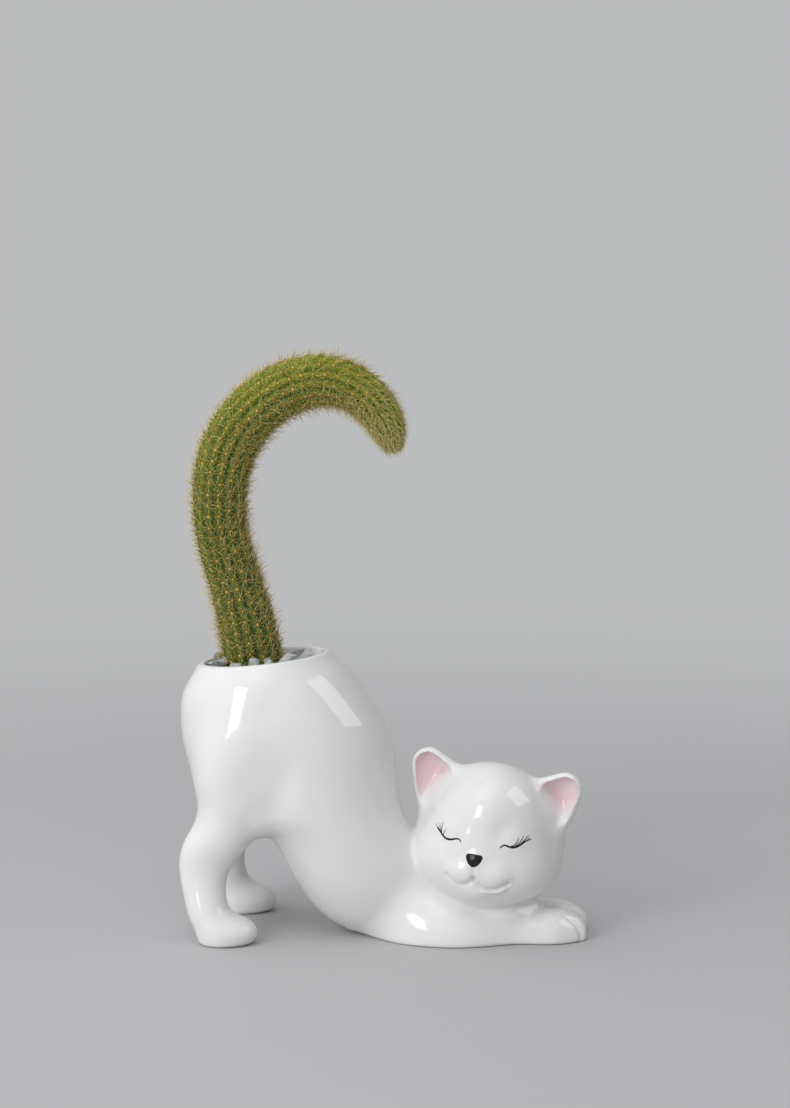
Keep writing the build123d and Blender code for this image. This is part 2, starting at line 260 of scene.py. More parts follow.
def swept_body():
    """The body's sections, and the section that each place of the middle plane lies on."""
    rows = np.array(BODY_SECTION_SHARES) * BODY_SIZES
    read = cubic(range(len(rows)), rows)
    xs, zs = (np.arange(*ends) for ends in BODY_GRID)
    gx, gz = np.meshgrid(xs, zs, indexing="ij")
    best, found = np.full(gx.shape, np.inf), np.zeros(gx.shape)
    samples = np.linspace(0, len(rows) - 1, SECTION_CUTS)
    ends = np.stack(read(samples)[:4], 1)
    before_s, before_off = None, None
    for s, (bx, bz, tx, tz) in zip(samples, ends):
        span = math.hypot(tx - bx, tz - bz)
        off = off_section((bx, bz, tx, tz), gx, gz) / span
        along = np.abs(((tx - bx) * (gx - bx) + (tz - bz) * (gz - bz)) / span**2 - 0.5)
        if before_off is not None:
            crossing = (before_off * off <= 0) & (along < best)
            part = before_off / np.where(before_off == off, 1, before_off - off)
            found = np.where(crossing, before_s + (s - before_s) * part, found)
            best = np.where(crossing, along, best)
        before_s, before_off = s, off
    found = np.where(np.isinf(best), np.where(gz > MOUTH_HEIGHT, 0, len(rows) - 1), found)
    return read, xs, zs, found, len(rows) - 1


BODY = swept_body()


def body_distance(p, inset=0.0):
    """Nearly the distance to the body's swept surface, drawn in by an inset."""
    read, xs, zs, found, last = BODY
    fx = np.clip(p[:, 0] - xs[0], 0, len(xs) - 1.001)
    fz = np.clip(p[:, 2] - zs[0], 0, len(zs) - 1.001)
    i, k = fx.astype(int), fz.astype(int)
    a, b = fx - i, fz - k
    low = found[i, k] * (1 - a) + found[i + 1, k] * a
    high = found[i, k + 1] * (1 - a) + found[i + 1, k + 1] * a
    s = low * (1 - b) + high * b
    nudge, stride, flat, beyond = 0.01, 0.1, 1e-6, 0.5
    x, z = p[:, 0], p[:, 2]
    for _ in range(2):
        off = off_section(read(s)[:4], x, z)
        slope = (off_section(read(s + nudge)[:4], x, z) - off) / nudge
        s = np.clip(s - np.clip(off / np.where(np.abs(slope) < flat, flat, slope), -stride, stride), 0, last)
    *ends, width = read(s)
    bx, bz, tx, tz = ends
    span = np.hypot(tx - bx, tz - bz)
    along = ((tx - bx) * (x - bx) + (tz - bz) * (z - bz)) / span - span / 2
    off = np.abs(off_section(ends, x, z)) / span
    d = ellipse_distance(along, p[:, 1], span / 2 - inset, width - inset)
    return np.where(off > beyond, np.maximum(d, off), d)


def over_section(p, section):
    """Height over the plane of one of the body's sections, towards the mouth."""
    ends = (np.array(BODY_SECTION_SHARES[section]) * BODY_SIZES)[:4]
    return off_section(ends, p[:, 0], p[:, 2]) / math.hypot(ends[2] - ends[0], ends[3] - ends[1])


HIND_LEG = share_curve(HIND_LEG_SHARES, (MOUTH_HEIGHT, CAT_LENGTH, CAT_WIDTH, CAT_LENGTH, CAT_WIDTH))
FORELEG = share_curve(FORELEG_SHARES, (CAT_LENGTH, CAT_WIDTH, MOUTH_HEIGHT, CAT_WIDTH, MOUTH_HEIGHT))

# The widest part of a foreleg lies at these shares of its height behind and before two places (x);
# above it the foreleg leans in
FORELEG_LOW_SHARES = (0.50, 0.20)
FORELEG_LOW_PLACES = (-14.0, 18.0)
FORELEG_LEAN = 0.14

# Creases between the toes: place across the paw as a share of its half width, depth and half width,
# and the places (x) and the distances from the skin between which they fade in
TOE_SHARES = (-0.52, 0.0, 0.52)
TOE_DEPTH = 1.1
TOE_WIDTH = 1.0
TOE_PLACES = (94.0, 103.0)
TOE_SKIN = (6.0, 2.0)


def hind_leg_distance(p, side):
    """Nearly the distance to a hind leg; side is 1 for the cat's left and -1 for its right."""
    x, y, half_x, half_y = HIND_LEG(p[:, 2])
    d = ellipse_distance(p[:, 0] - x, p[:, 1] * -side - y, half_x, half_y)
    d = overlap(d, p[:, 2] - HIND_LEG.span[1] - LEG_TOP_ROUND / 4, LEG_TOP_ROUND)
    return join(d, ball_distance(p * (1, side, 1), FOOT_CENTRE, FOOT_HALVES), FOOT_JOIN)


def foreleg_distance(p, side):
    """Nearly the distance to a foreleg and its paw."""
    y, z, half_y, half_z = FORELEG(p[:, 0])
    into = np.clip((p[:, 0] - PAW_ROUND_START) / (PAW_END - PAW_ROUND_START), 0, PAW_ROUND_MOST)
    close = np.sqrt(1 - into**2)
    across = p[:, 1] * -side - y
    top = z + half_z * close
    behind, before = FORELEG_LOW_SHARES
    middle = top * (behind + (before - behind) * ramp(p[:, 0], *FORELEG_LOW_PLACES))
    half = np.where(p[:, 2] > middle, top - middle, half_z * FORELEG_UNDER_SHARE)
    across = across - FORELEG_LEAN * (p[:, 2] - middle)
    d = ellipse_distance(across, p[:, 2] - middle, half_y * close, half)
    d = np.maximum(d, np.maximum(FORELEG.span[0] - p[:, 0], p[:, 0] - PAW_END))
    tip = ramp(p[:, 0], *TOE_PLACES)
    for share in TOE_SHARES:
        crease = np.exp(-((across - share * half_y) / TOE_WIDTH) ** 2)
        d = d + TOE_DEPTH * tip * crease * ramp(np.abs(d), *TOE_SKIN)
    return d


# The head: u runs to the viewer's right, v to the back of the head and w up
HEAD_HALVES = (40.5, 32.5, 37.5)
HEAD_SIDE = -1.6
HEAD_TURN = math.radians(8.0)
HEAD_ROLL = math.radians(8.0)
HEAD_CENTRE = np.array((57.5, -8.0, 55.2))

# The skull: height, then its half width and half depth against an ellipsoid's, and its middle's shift in v
SKULL_SHARES = (
    (-1.02, 0.98, 1.00, -0.22),
    (-0.70, 1.10, 1.03, -0.14),
    (-0.38, 1.08, 1.02, -0.06),
    (0.00, 1.01, 1.00, 0.00),
    (0.40, 0.97, 0.98, 0.02),
    (0.72, 0.96, 0.98, 0.02),
    (1.02, 0.96, 0.98, 0.02),
)
SKULL = share_curve(SKULL_SHARES, (HEAD_HALVES[2], 1, 1, 1))

# Soft forms of the muzzle: middle (u, v, w) and half sizes
MUZZLE_FORMS = (
    ((-6.2, -27.6, -15.2), (7.6, 6.2, 6.6)),
    ((7.2, -27.6, -14.6), (9.2, 6.2, 7.0)),
    ((-0.6, -27.9, -8.6), (5.6, 5.4, 5.4)),
    ((0.2, -25.2, -23.6), (6.6, 5.2, 4.6)),
)
MUZZLE_BLEND = 4.5

# The places (v) and the distances from the skin between which the face's fine forms fade in
FACE_FRONT = (-12.0, -20.0)
FACE_SKIN = (8.0, 3.0)

# Swells and hollows of the face: middle (u, w), reach across and up, and height
FACE_SWELLS = (
    (-17.5, 5.2, 5.0, 4.2, 0.7),
    (18.0, 7.0, 6.0, 5.0, 0.9),
    (9.0, 7.5, 5.5, 6.0, -1.1),
    (24.0, -12.0, 9.0, 9.0, 0.7),
    (-2.0, 19.5, 9.0, 8.0, 0.65),
    (-0.5, 9.0, 5.0, 4.0, -0.16),
    (-21.0, -12.0, 8.0, 8.0, 0.6),
)

# The dome of the brow: middle (u, w), reach across and up, its height, where it fades over the crown (v),
# and the distances from the skin between which it fades in
BROW = (2.0, 25.0, 20.0, 17.0)
BROW_HEIGHT = 2.4
BROW_FADE = (8.0, -12.0)
BROW_SKIN = (12.0, 5.0)

# How the brow falls back to both sides: slope, roundness of its ridge, and the heights where it starts
BROW_SLOPE = 0.22
BROW_RIDGE = 14.0
BROW_START = (-26.0, 9.0)

# Lines pressed into the face: points (u, w), depth and half width
FACE_LINES = (
    (((-1.0, -10.9), (-0.8, -14.5), (-0.7, -17.6)), 0.55, 1.4),
    (((-14.6, -18.6), (-12.1, -20.8), (-9.6, -21.7), (-7.0, -21.9), (-4.2, -21.1), (-2.1, -19.2),
      (-0.7, -17.4)), 0.8, 1.4),
    (((-0.7, -17.4), (1.5, -20.0), (3.1, -21.0), (5.8, -21.9), (9.3, -21.8), (11.9, -20.8), (14.4, -19.1),
      (16.7, -17.2)), 1.3, 1.25),
)
LOWER_LIP = ((5.5, -23.6), (9.3, -23.9), (12.6, -22.8), (15.6, -20.6))
LOWER_LIP_RISE = 0.7
LOWER_LIP_REACH = 1.1


def head_axes():
    """The head's own axes, as rows."""
    ct, st, cr, sr = math.cos(HEAD_TURN), math.sin(HEAD_TURN), math.cos(HEAD_ROLL), math.sin(HEAD_ROLL)
    turn = np.array(((ct, st, 0), (-st, ct, 0), (0, 0, 1)))
    roll = np.array(((cr, 0, sr), (0, 1, 0), (-sr, 0, cr)))
    return (turn @ roll).T


HEAD_AXES = head_axes()


def to_head(p):
    """Points in the head's own frame."""
    return (p - HEAD_CENTRE) @ HEAD_AXES.T


def from_head(q):
    """Points of the head's frame, back in the cat's."""
    return np.asarray(q, float) @ HEAD_AXES + HEAD_CENTRE


def skull_distance(q):
    """Nearly the distance to the skull, in the head's frame."""
    wide, deep, middle = SKULL(q[:, 2])
    shaped = np.stack(((q[:, 0] - HEAD_SIDE) / wide, (q[:, 1] - middle * HEAD_HALVES[1]) / deep, q[:, 2]), 1)
    return ball_distance(shaped, (0, 0, 0), HEAD_HALVES)


def face_distance(q):
    """Nearly the distance to the skull with its muzzle, lids and mouth."""
    d = skull_distance(q)
    for centre, halves in MUZZLE_FORMS:
        d = join(d, ball_distance(q, centre, halves), MUZZLE_BLEND)
    front = ramp(q[:, 1], *FACE_FRONT) * ramp(np.abs(d), *FACE_SKIN)
    u, w = q[:, 0], q[:, 2]
    for *place, height in FACE_SWELLS:
        d = d - height * front * dome(u, w, *place)
    brow = ramp(q[:, 1], *BROW_FADE) * ramp(np.abs(d), *BROW_SKIN)
    fall = np.sqrt((u - BROW[0]) ** 2 + BROW_RIDGE**2) - BROW_RIDGE
    d = d + BROW_SLOPE * brow * ramp(w, *BROW_START) * fall
    d = d - BROW_HEIGHT * brow * dome(u, w, *BROW)
    for points, depth, width in FACE_LINES:
        d = d + depth * front * mark(points, u, w, width)
    return d - LOWER_LIP_RISE * front * mark(LOWER_LIP, u, w, LOWER_LIP_REACH)


# The ears: their length out of the head's frame, lean, root (u, v, w), shift to one side, half sizes and wall
EAR_LENGTH = 22.0
EAR_LEAN = math.radians(38.0)
EAR_ROOT = (29.1, 2.6, 19.9)
EAR_SIDE = -2.0
EAR_HALF_WIDTH = 15.2
EAR_HALF_DEPTH = 7.5
EAR_WALL = 1.9
EAR_BLEND = 6.0

# The cup of an ear: its wall at the edge and at the tip as shares of the ear's wall, its least half size,
# its blend, and how far it stays off the skull
CUP_EDGE_SHARE = 0.8
CUP_TIP_SHARE = 1.15
CUP_LEAST = 0.3
CUP_BLEND = 1.4
CUP_GAP = 0.4
CUP_GAP_BLEND = 7.0

# Where the pink of a cup fades: at its skin, under its tip, to its outer edge, at its foot and by the skull
PINK_SKIN = (1.0, -0.4)
PINK_TIP = 2.5
PINK_SIDE_SHARES = (0.85, 0.25)
PINK_FOOT = (-4.0, 6.0)
PINK_SKULL = (-1.5, 3.5)

# An ear from root to tip: the place along it, its half width and its half depth
EAR_SECTION_SHARES = (
    (-0.50, 1.06, 1.10),
    (0.00, 1.00, 1.00),
    (0.34, 0.84, 0.86),
    (0.66, 0.62, 0.66),
    (0.88, 0.42, 0.48),
    (0.97, 0.22, 0.30),
    (1.00, 0.10, 0.14),
)
EAR = share_curve(EAR_SECTION_SHARES, (EAR_LENGTH, EAR_HALF_WIDTH, EAR_HALF_DEPTH))


def ear_place(q, side):
    """Points in an ear's frame: across the ear, through its depth and along it."""
    along = np.array((side * math.sin(EAR_LEAN), 0, math.cos(EAR_LEAN)))
    across = np.array((side * math.cos(EAR_LEAN), 0, -math.sin(EAR_LEAN)))
    r = q - np.array((side * EAR_ROOT[0] + EAR_SIDE, EAR_ROOT[1], EAR_ROOT[2]))
    return r @ across, r[:, 1], r @ along


def cup_distance(c, b, h):
    """Nearly the distance to the hollow of an ear's cup, which closes in a round end."""
    edge = EAR_WALL * CUP_EDGE_SHARE
    width, depth = EAR(h + edge)
    cup_width, cup_depth = (np.maximum(half, CUP_LEAST) for half in (width - edge, 2 * depth - EAR_WALL))
    cup = ellipse_distance(c, b + depth, cup_width, cup_depth)
    return overlap(cup, h - EAR_LENGTH + EAR_WALL * CUP_TIP_SHARE, EAR_WALL)


def ear_distance(q, side):
    """Nearly the distances to one ear's outside and to the hollow of its cup."""
    c, b, h = ear_place(q, side)
    width, depth = EAR(h)
    outside = overlap(ellipse_distance(c, b, width, depth), h - EAR_LENGTH, EAR_WALL)
    return outside, cup_distance(c, b, h)


def head_distance(q):
    """Nearly the distance to the head with its ears."""
    face = face_distance(q)
    d, cups = face, np.full(len(q), np.inf)
    for side in (1, -1):
        outside, cup = ear_distance(q, side)
        d = join(d, outside, EAR_BLEND)
        cups = np.minimum(cups, cup)
    return carve(d, overlap(cups, CUP_GAP - face, CUP_GAP_BLEND), CUP_BLEND)


def ear_pink(p):
    """How pink the glaze is at each point: 1 inside the cups of the ears, 0 elsewhere."""
    q = to_head(p)
    pink = np.zeros(len(p))
    for side in (1, -1):
        c, b, h = ear_place(q, side)
        inside = ramp(cup_distance(c, b, h), *PINK_SKIN) * ramp(h, EAR_LENGTH, EAR_LENGTH - PINK_TIP)
        inside = inside * ramp(side * c / EAR_HALF_WIDTH, *PINK_SIDE_SHARES)
        pink = np.maximum(pink, inside * ramp(h, *PINK_FOOT) * ramp(skull_distance(q), *PINK_SKULL))
    return pink


# The slight unevenness of a hand finished casting: the length of its waves and their height
WOBBLE_LENGTH = 17.0
WOBBLE_HEIGHT = 0.10


def wobble(p):
    """Two crossing waves over the whole skin, of no common rhythm."""
    x, y, z = p.T / WOBBLE_LENGTH
    crossed = np.sin(x + 1.7 * z + 0.6) * np.cos(1.3 * y - 0.8 * x)
    return WOBBLE_HEIGHT * (crossed + np.sin(1.9 * z - 0.7 * x + 2.1 * y + 1.4))


def collar_distance(p):
    """Nearly the distance to the funnel that the collar leaves open inside the mouth."""
    depth = -over_section(p, MOUTH_SECTION)
    wider = COLLAR_FLARE * np.maximum(depth - COLLAR_DEPTH, 0) - COLLAR_SLOPE * depth
    half_x, half_y = (np.maximum(half + wider, COLLAR_LEAST) for half in COLLAR_HALVES)
    return ellipse_distance(p[:, 0] - MOUTH_MIDDLE, p[:, 1], half_x, half_y)


def cat_distance(p):
    """Nearly the distance to the whole ceramic cat, below zero in its wall."""
    d = body_distance(p)
    for side in (1, -1):
        d = join(d, hind_leg_distance(p, side), THIGH_BLEND)
        d = join(d, ball_distance(p * (1, side, 1), WEB_CENTRE, WEB_HALVES), WEB_BLEND)
    valley = mark(THIGH_LINE, p[:, 0], p[:, 2], THIGH_REACH)
    valley = valley * ramp(p[:, 2], *THIGH_HEIGHTS) * ramp(np.abs(p[:, 1]), *THIGH_SIDES)
    d = d + THIGH_DEPTH * valley * ramp(np.abs(d), *THIGH_SKIN)
    forelegs = [foreleg_distance(p, side) for side in (1, -1)]
    d = join(d, join(*forelegs, PAW_BLEND), LEG_BLEND)
    d = join(d, ball_distance(p, THROAT_CENTRE, THROAT_HALVES), THROAT_BLEND)
    d = join(d, head_distance(to_head(p)), NECK_BLEND)
    d = d + wobble(p)
    d = carve(d, -over_section(p, MOUTH_SECTION), LIP_BLEND)
    inset = LIP_WALL + (WALL - LIP_WALL) * ramp(MOUTH_HEIGHT - p[:, 2], *LIP_DEPTHS)
    hollow = overlap(body_distance(p, inset), CAVITY_FLOOR - p[:, 2], FOOT_BLEND)
    hollow = overlap(hollow, WALL - over_section(p, -1), FOOT_BLEND)
    hollow = overlap(hollow, collar_distance(p), LIP_BLEND)
    d = carve(d, hollow, LIP_BLEND)
    return carve(d, p[:, 2], FOOT_BLEND)


# Meshing a form

def grid_values(distance, low, counts, step, coarse, near_share=1.8, chunk=400000):
    """A distance at the points of those blocks of a grid that lie near its surface, and which they are."""
    axes = [start + step * np.arange(count) for start, count in zip(low, counts)]
    mids = [(axis[:-1:coarse] + axis[coarse::coarse]) / 2 for axis in axes]
    middles = np.stack(np.meshgrid(*mids, indexing="ij"), -1).reshape(-1, 3)
    near = (np.abs(distance(middles)) < step * coarse * near_share).reshape([len(m) for m in mids])
    wanted = np.zeros(counts, bool)
    for block in zip(*np.nonzero(near)):
        wanted[tuple(slice(i * coarse, (i + 1) * coarse + 1) for i in block)] = True
    at = np.nonzero(wanted)
    points = np.stack([axis[index] for axis, index in zip(axes, at)], 1)
    values = np.full(counts, step * coarse, np.float32)
    values[at] = np.concatenate([distance(points[i:i + chunk]) for i in range(0, len(points), chunk)])
    return values, wanted


def crossed_cells(values, wanted):
    """The cells of a grid that the surface passes through, and a number for each."""
    inside = values < 0
    shifts = [(a, b, c) for a in (0, 1) for b in (0, 1) for c in (0, 1)]
    corners = [tuple(slice(s, n - 1 + s) for s, n in zip(shift, values.shape)) for shift in shifts]
    total = sum(inside[corner].astype(np.int8) for corner in corners)
    active = (total > 0) & (total < 8) & np.logical_and.reduce([wanted[corner] for corner in corners])
    cells = np.stack(np.nonzero(active), 1)
    number = np.full(active.shape, -1, np.int32)
    number[active] = np.arange(len(cells))
    return cells, number


def cell_points(values, cells):
    """A point in each crossed cell: the mean of the places where the surface cuts the cell's edges."""
    place, hits = np.zeros((len(cells), 3)), np.zeros((len(cells), 1))
    for axis, a, b in ((axis, a, b) for axis in range(3) for a in (0, 1) for b in (0, 1)):
        start = np.zeros(3, int)
        start[(axis + 1) % 3], start[(axis + 2) % 3] = a, b
        end = start.copy()
        end[axis] = 1
        v0, v1 = values[tuple((cells + start).T)], values[tuple((cells + end).T)]
        cut = (v0 < 0) != (v1 < 0)
        spot = start + np.zeros((len(cells), 3))
        spot[:, axis] += np.where(cut, v0 / np.where(v0 == v1, 1, v0 - v1), 0)
        place += spot * cut[:, None]
        hits += cut[:, None]
    return cells + place / hits


def cell_faces(values, number):
    """A quad round each edge of the grid that the surface cuts, between the points of its four cells."""
    inside, faces = values < 0, []
    for axis in range(3):
        here = [slice(1, count - 1) for count in values.shape]
        here[axis] = slice(0, values.shape[axis] - 1)
        ahead = list(here)
        ahead[axis] = slice(1, values.shape[axis])
        first, second = inside[tuple(here)], inside[tuple(ahead)]
        edges = np.stack(np.nonzero(first != second), 1)
        flip = first[tuple(edges.T)]
        base = edges + 1
        base[:, axis] -= 1
        quad = []
        for a, b in ((1, 1), (0, 1), (0, 0), (1, 0)):
            cell = base.copy()
            cell[:, (axis + 1) % 3] -= a
            cell[:, (axis + 2) % 3] -= b
            quad.append(number[tuple(cell.T)])
        quad = np.stack(quad, 1)
        whole = np.all(quad >= 0, axis=1)
        quad, flip = quad[whole], flip[whole]
        quad[~flip] = quad[~flip][:, ::-1]
        faces.append(quad)
    return np.concatenate(faces)


def mesh_of(distance, low, high, step, coarse=5):
    """A quad mesh of the surface where a distance is zero, over a grid with blocks of so many steps."""
    counts = [int(math.ceil((h - l) / step / coarse)) * coarse + 1 for l, h in zip(low, high)]
    values, wanted = grid_values(distance, low, counts, step, coarse)
    cells, number = crossed_cells(values, wanted)
    return cell_points(values, cells) * step + np.array(low), cell_faces(values, number)


# How far around a point of the surface the form is felt for its normal
NORMAL_REACH = 0.3


def slopes(distance, p, reach=0.15):
    """The unit direction in which a distance grows, the distance, and its steepness."""
    corners = np.array(((1, 1, 1), (1, -1, -1), (-1, 1, -1), (-1, -1, 1)), float)
    total, mean = np.zeros_like(p), np.zeros(len(p))
    for corner in corners:
        value = distance(p + corner * reach)
        total += value[:, None] * corner
        mean += value / 4
    steep = total / (4 * reach)
    size = np.sqrt((steep**2).sum(1))
    return steep / size[:, None], mean, size


def settle(distance, p, rounds=2, most=0.6, least_slope=0.3):
    """Points moved onto the surface where a distance is zero."""
    for _ in range(rounds):
        way, value, size = slopes(distance, p)
        p = p - way * np.clip(value / np.maximum(size, least_slope), -most, most)[:, None]
    return p


def cast(distance, start, way, reach, steps=80, caution=0.8):
    """The first points of a form that rays meet, by stepping along them."""
    t = np.zeros(len(start))
    for _ in range(steps):
        t = np.clip(t + distance(start + way * t[:, None]) * caution, 0, reach)
    return start + way * t[:, None]


# Materials

def material(name, colour, roughness, **sockets):
    """A node material with its principled shader, and a maker of more nodes for it."""
    made = bpy.data.materials.new(name)
    made.use_nodes = True
    shader = made.node_tree.nodes["Principled BSDF"]
    shader.inputs["Base Color"].default_value = (*colour, 1)
    shader.inputs["Roughness"].default_value = roughness
    for socket, value in sockets.items():
        shader.inputs[socket.replace("_", " ")].default_value = value
    return made, shader


def node(made, kind, inputs=None, **settings):
    """One more node of a material, with its settings, and its inputs set or linked."""
    new = made.node_tree.nodes.new(kind)
    for setting, value in settings.items():
        setattr(new, setting, value)
    for socket, value in (inputs or {}).items():
        if isinstance(value, bpy.types.NodeSocket):
            made.node_tree.links.new(value, new.inputs[socket])
        else:
            new.inputs[socket].default_value = value
    return new


def link(made, source, target):
    """A link between two sockets of a material."""
    made.node_tree.links.new(source, target)


def place_noise(made, scale, detail=3.0, roughness=0.5):
    """Noise that follows the object's own coordinates; scale is in features to the metre."""
    where = node(made, "ShaderNodeTexCoord").outputs["Object"]
    return node(made, "ShaderNodeTexNoise", {"Vector": where, "Scale": scale, "Detail": detail,
                                             "Roughness": roughness}).outputs["Fac"]


def blend_colours(made, factor, first, second):
    """A mix of two colours or colour sockets by a factor."""
    mix = node(made, "ShaderNodeMix", data_type="RGBA")
    for socket, value in ((mix.inputs[0], factor), (mix.inputs[6], first), (mix.inputs[7], second)):
        if isinstance(value, bpy.types.NodeSocket):
            link(made, value, socket)
        else:
            socket.default_value = value if isinstance(value, float) else (*value, 1)
    return mix.outputs[2]


def levels(made, value, low, high, to_low=0.0, to_high=1.0):
    """A value mapped smoothly from one range to another."""
    return node(made, "ShaderNodeMapRange", {"Value": value, "From Min": low, "From Max": high,
                                             "To Min": to_low, "To Max": to_high},
                interpolation_type="SMOOTHSTEP").outputs["Result"]


def patches(made, scale, detail=3.0, roughness=0.5, to=(0.0, 1.0)):
    """Soft patches of noise, between two values."""
    return levels(made, place_noise(made, scale, detail, roughness), 0.3, 0.7, *to)


def painted(made, name):
    """What the mesh carries under a name."""
    return node(made, "ShaderNodeAttribute", attribute_name=name).outputs["Fac"]


def coat(made, shader, colour, rough=None):
    """A colour, and where given a roughness, linked to the shader."""
    link(made, colour, shader.inputs["Base Color"])
    if rough is not None:
        link(made, rough, shader.inputs["Roughness"])


def bump(made, shader, scale, detail, strength, distance):
    """Fine relief from noise of a scale."""
    relief = node(made, "ShaderNodeBump", {"Height": place_noise(made, scale, detail), "Strength": strength,
                                           "Distance": distance})
    link(made, relief.outputs["Normal"], shader.inputs["Normal"])


def glaze_material():
    """White gloss glaze: faint cloudiness, a few specks of iron, and pink where the ears are tinted."""
    made, shader = material("white_glaze", (0.80, 0.80, 0.79), 0.06, IOR=1.52)
    cloud = levels(made, place_noise(made, 22.0), 0.35, 0.65)
    white = blend_colours(made, cloud, (0.79, 0.79, 0.775), (0.83, 0.83, 0.825))
    speck = levels(made, place_noise(made, 900.0, 1.0), 0.80, 0.83)
    white = blend_colours(made, speck, white, (0.35, 0.33, 0.30))
    pink = blend_colours(made, patches(made, 160.0), (0.80, 0.57, 0.61), (0.83, 0.65, 0.68))
    colour = blend_colours(made, painted(made, "ear_pink"), white, pink)
    coat(made, shader, colour, patches(made, 60.0, to=(0.04, 0.09)))
    bump(made, shader, 55.0, 1.0, 0.12, 0.0004)
    return made


def black_glaze_material():
    """The black overglaze paint of the nose and the eye lines."""
    made, shader = material("black_glaze", (0.012, 0.012, 0.014), 0.10, Specular_IOR_Level=0.28)
    paint = blend_colours(made, place_noise(made, 400.0), (0.008, 0.008, 0.010), (0.022, 0.021, 0.022))
    coat(made, shader, paint)
    return made


# Meshes and pieces

def add_object(name, data):
    """An object of some data, in the scene."""
    made_object = bpy.data.objects.new(name, data)
    bpy.context.scene.collection.objects.link(made_object)
    return made_object


def ring_faces(rings, spokes, first=0):
    """Two triangles in each cell between closed rings of points, each ring numbered after the one before."""
    index = first + np.arange(rings * spokes).reshape(rings, spokes)
    ahead = np.roll(index, -1, axis=1)
    cells = np.stack((index[:-1], index[1:], ahead[1:], ahead[:-1]), -1).reshape(-1, 4)
    return np.concatenate([cells[:, [0, 1, 2]], cells[:, [0, 2, 3]]])


def fan(middle, first, spokes, way=1):
    """Triangles from a middle point to a closed ring; way is 1 or -1 for the side that they face."""
    ring = first + np.arange(spokes)
    return np.stack((np.full(spokes, middle), ring, np.roll(ring, -1)), 1)[:, ::way]


def copied_faces(faces, points, copies):
    """The faces of many copies of a form of so many points."""
    return (np.arange(copies)[:, None, None] * points + np.asarray(faces)).reshape(-1, 3)


def add_mesh(name, vertices, faces, made, normals=None, smooth=True):
    """An object of one material from points in millimetres and faces that all have as many corners."""
    faces = np.asarray(faces, np.int32)
    mesh = bpy.data.meshes.new(name)
    mesh.vertices.add(len(vertices))
    mesh.vertices.foreach_set("co", (np.asarray(vertices, float) * MM).astype(np.float32).ravel())
    mesh.loops.add(faces.size)
    mesh.loops.foreach_set("vertex_index", faces.ravel())
    mesh.polygons.add(len(faces))
    mesh.polygons.foreach_set("loop_start", np.arange(0, faces.size, faces.shape[1], dtype=np.int32))
    mesh.update(calc_edges=True)
    mesh.validate()
    mesh.polygons.foreach_set("use_smooth", np.full(len(mesh.polygons), smooth))
    if normals is not None:
        mesh.normals_split_custom_set_from_vertices(np.asarray(normals, float).tolist())
    mesh.materials.append(made)
    return add_object(name, mesh)


def add_attribute(made_object, name, values):
    """One number at each vertex, for a material to read."""
    attribute = made_object.data.attributes.new(name, "FLOAT", "POINT")
    attribute.data.foreach_set("value", np.asarray(values, np.float32))


def settle_piece(made_object, slot, *nodes):
    """The piece rides on the planter's one body and stands for some nodes, whose solids it hides; slot is not
    used.
    """
    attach(made_object, "root")
    if nodes:
        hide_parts(*nodes)


CAT_STEP = 0.9
ROOM_AT_ENDS = 3
ROOM_OVER_MOUTH = 5


def build_cat():
    """The glazed cat as one smooth skin over all its castings."""
    step = CAT_STEP
    margin = 3 * step
    x, y = CAT_LENGTH / 2 + margin + ROOM_AT_ENDS, CAT_WIDTH / 2 + margin
    top = MOUTH_HEIGHT + margin + ROOM_OVER_MOUTH
    vertices, faces = mesh_of(cat_distance, (-x, -y, -margin), (x, y, top), step)
    vertices = settle(cat_distance, vertices)
    normals = slopes(cat_distance, vertices, NORMAL_REACH)[0]
    cat = add_mesh("glazed_cat", vertices, faces, glaze_material(), normals)
    add_attribute(cat, "ear_pink", ear_pink(vertices))
    settle_piece(cat, "white_glaze", "pot_body", "hind_leg_left", "hind_leg_right", "foreleg_left",
                 "foreleg_right", "head", "ear_left", "ear_right")


# The painted face: places (u, w) in the head's frame

NOSE_OUTLINE = ((-6.3, -5.9), (-5.2, -4.5), (-1.9, -4.1), (1.6, -4.1), (2.9, -5.2), (2.3, -7.6), (0.6, -9.9),
                (-1.1, -11.0), (-2.8, -10.6), (-5.0, -8.7))
NOSE_RISE = 0.55
PAINT_RISE = 0.12
PAINT_SINK = 0.05
STROKE_WIDEN = 1.75
STROKE_POINT = 0.4
STROKE_END_SHARE = 0.15
STROKE_SHOULDER_SHARE = 0.7

# The plane (v) before the face from which the paint is laid on, and how far it may reach back
PAINT_FROM = -46.0
PAINT_REACH = 40.0

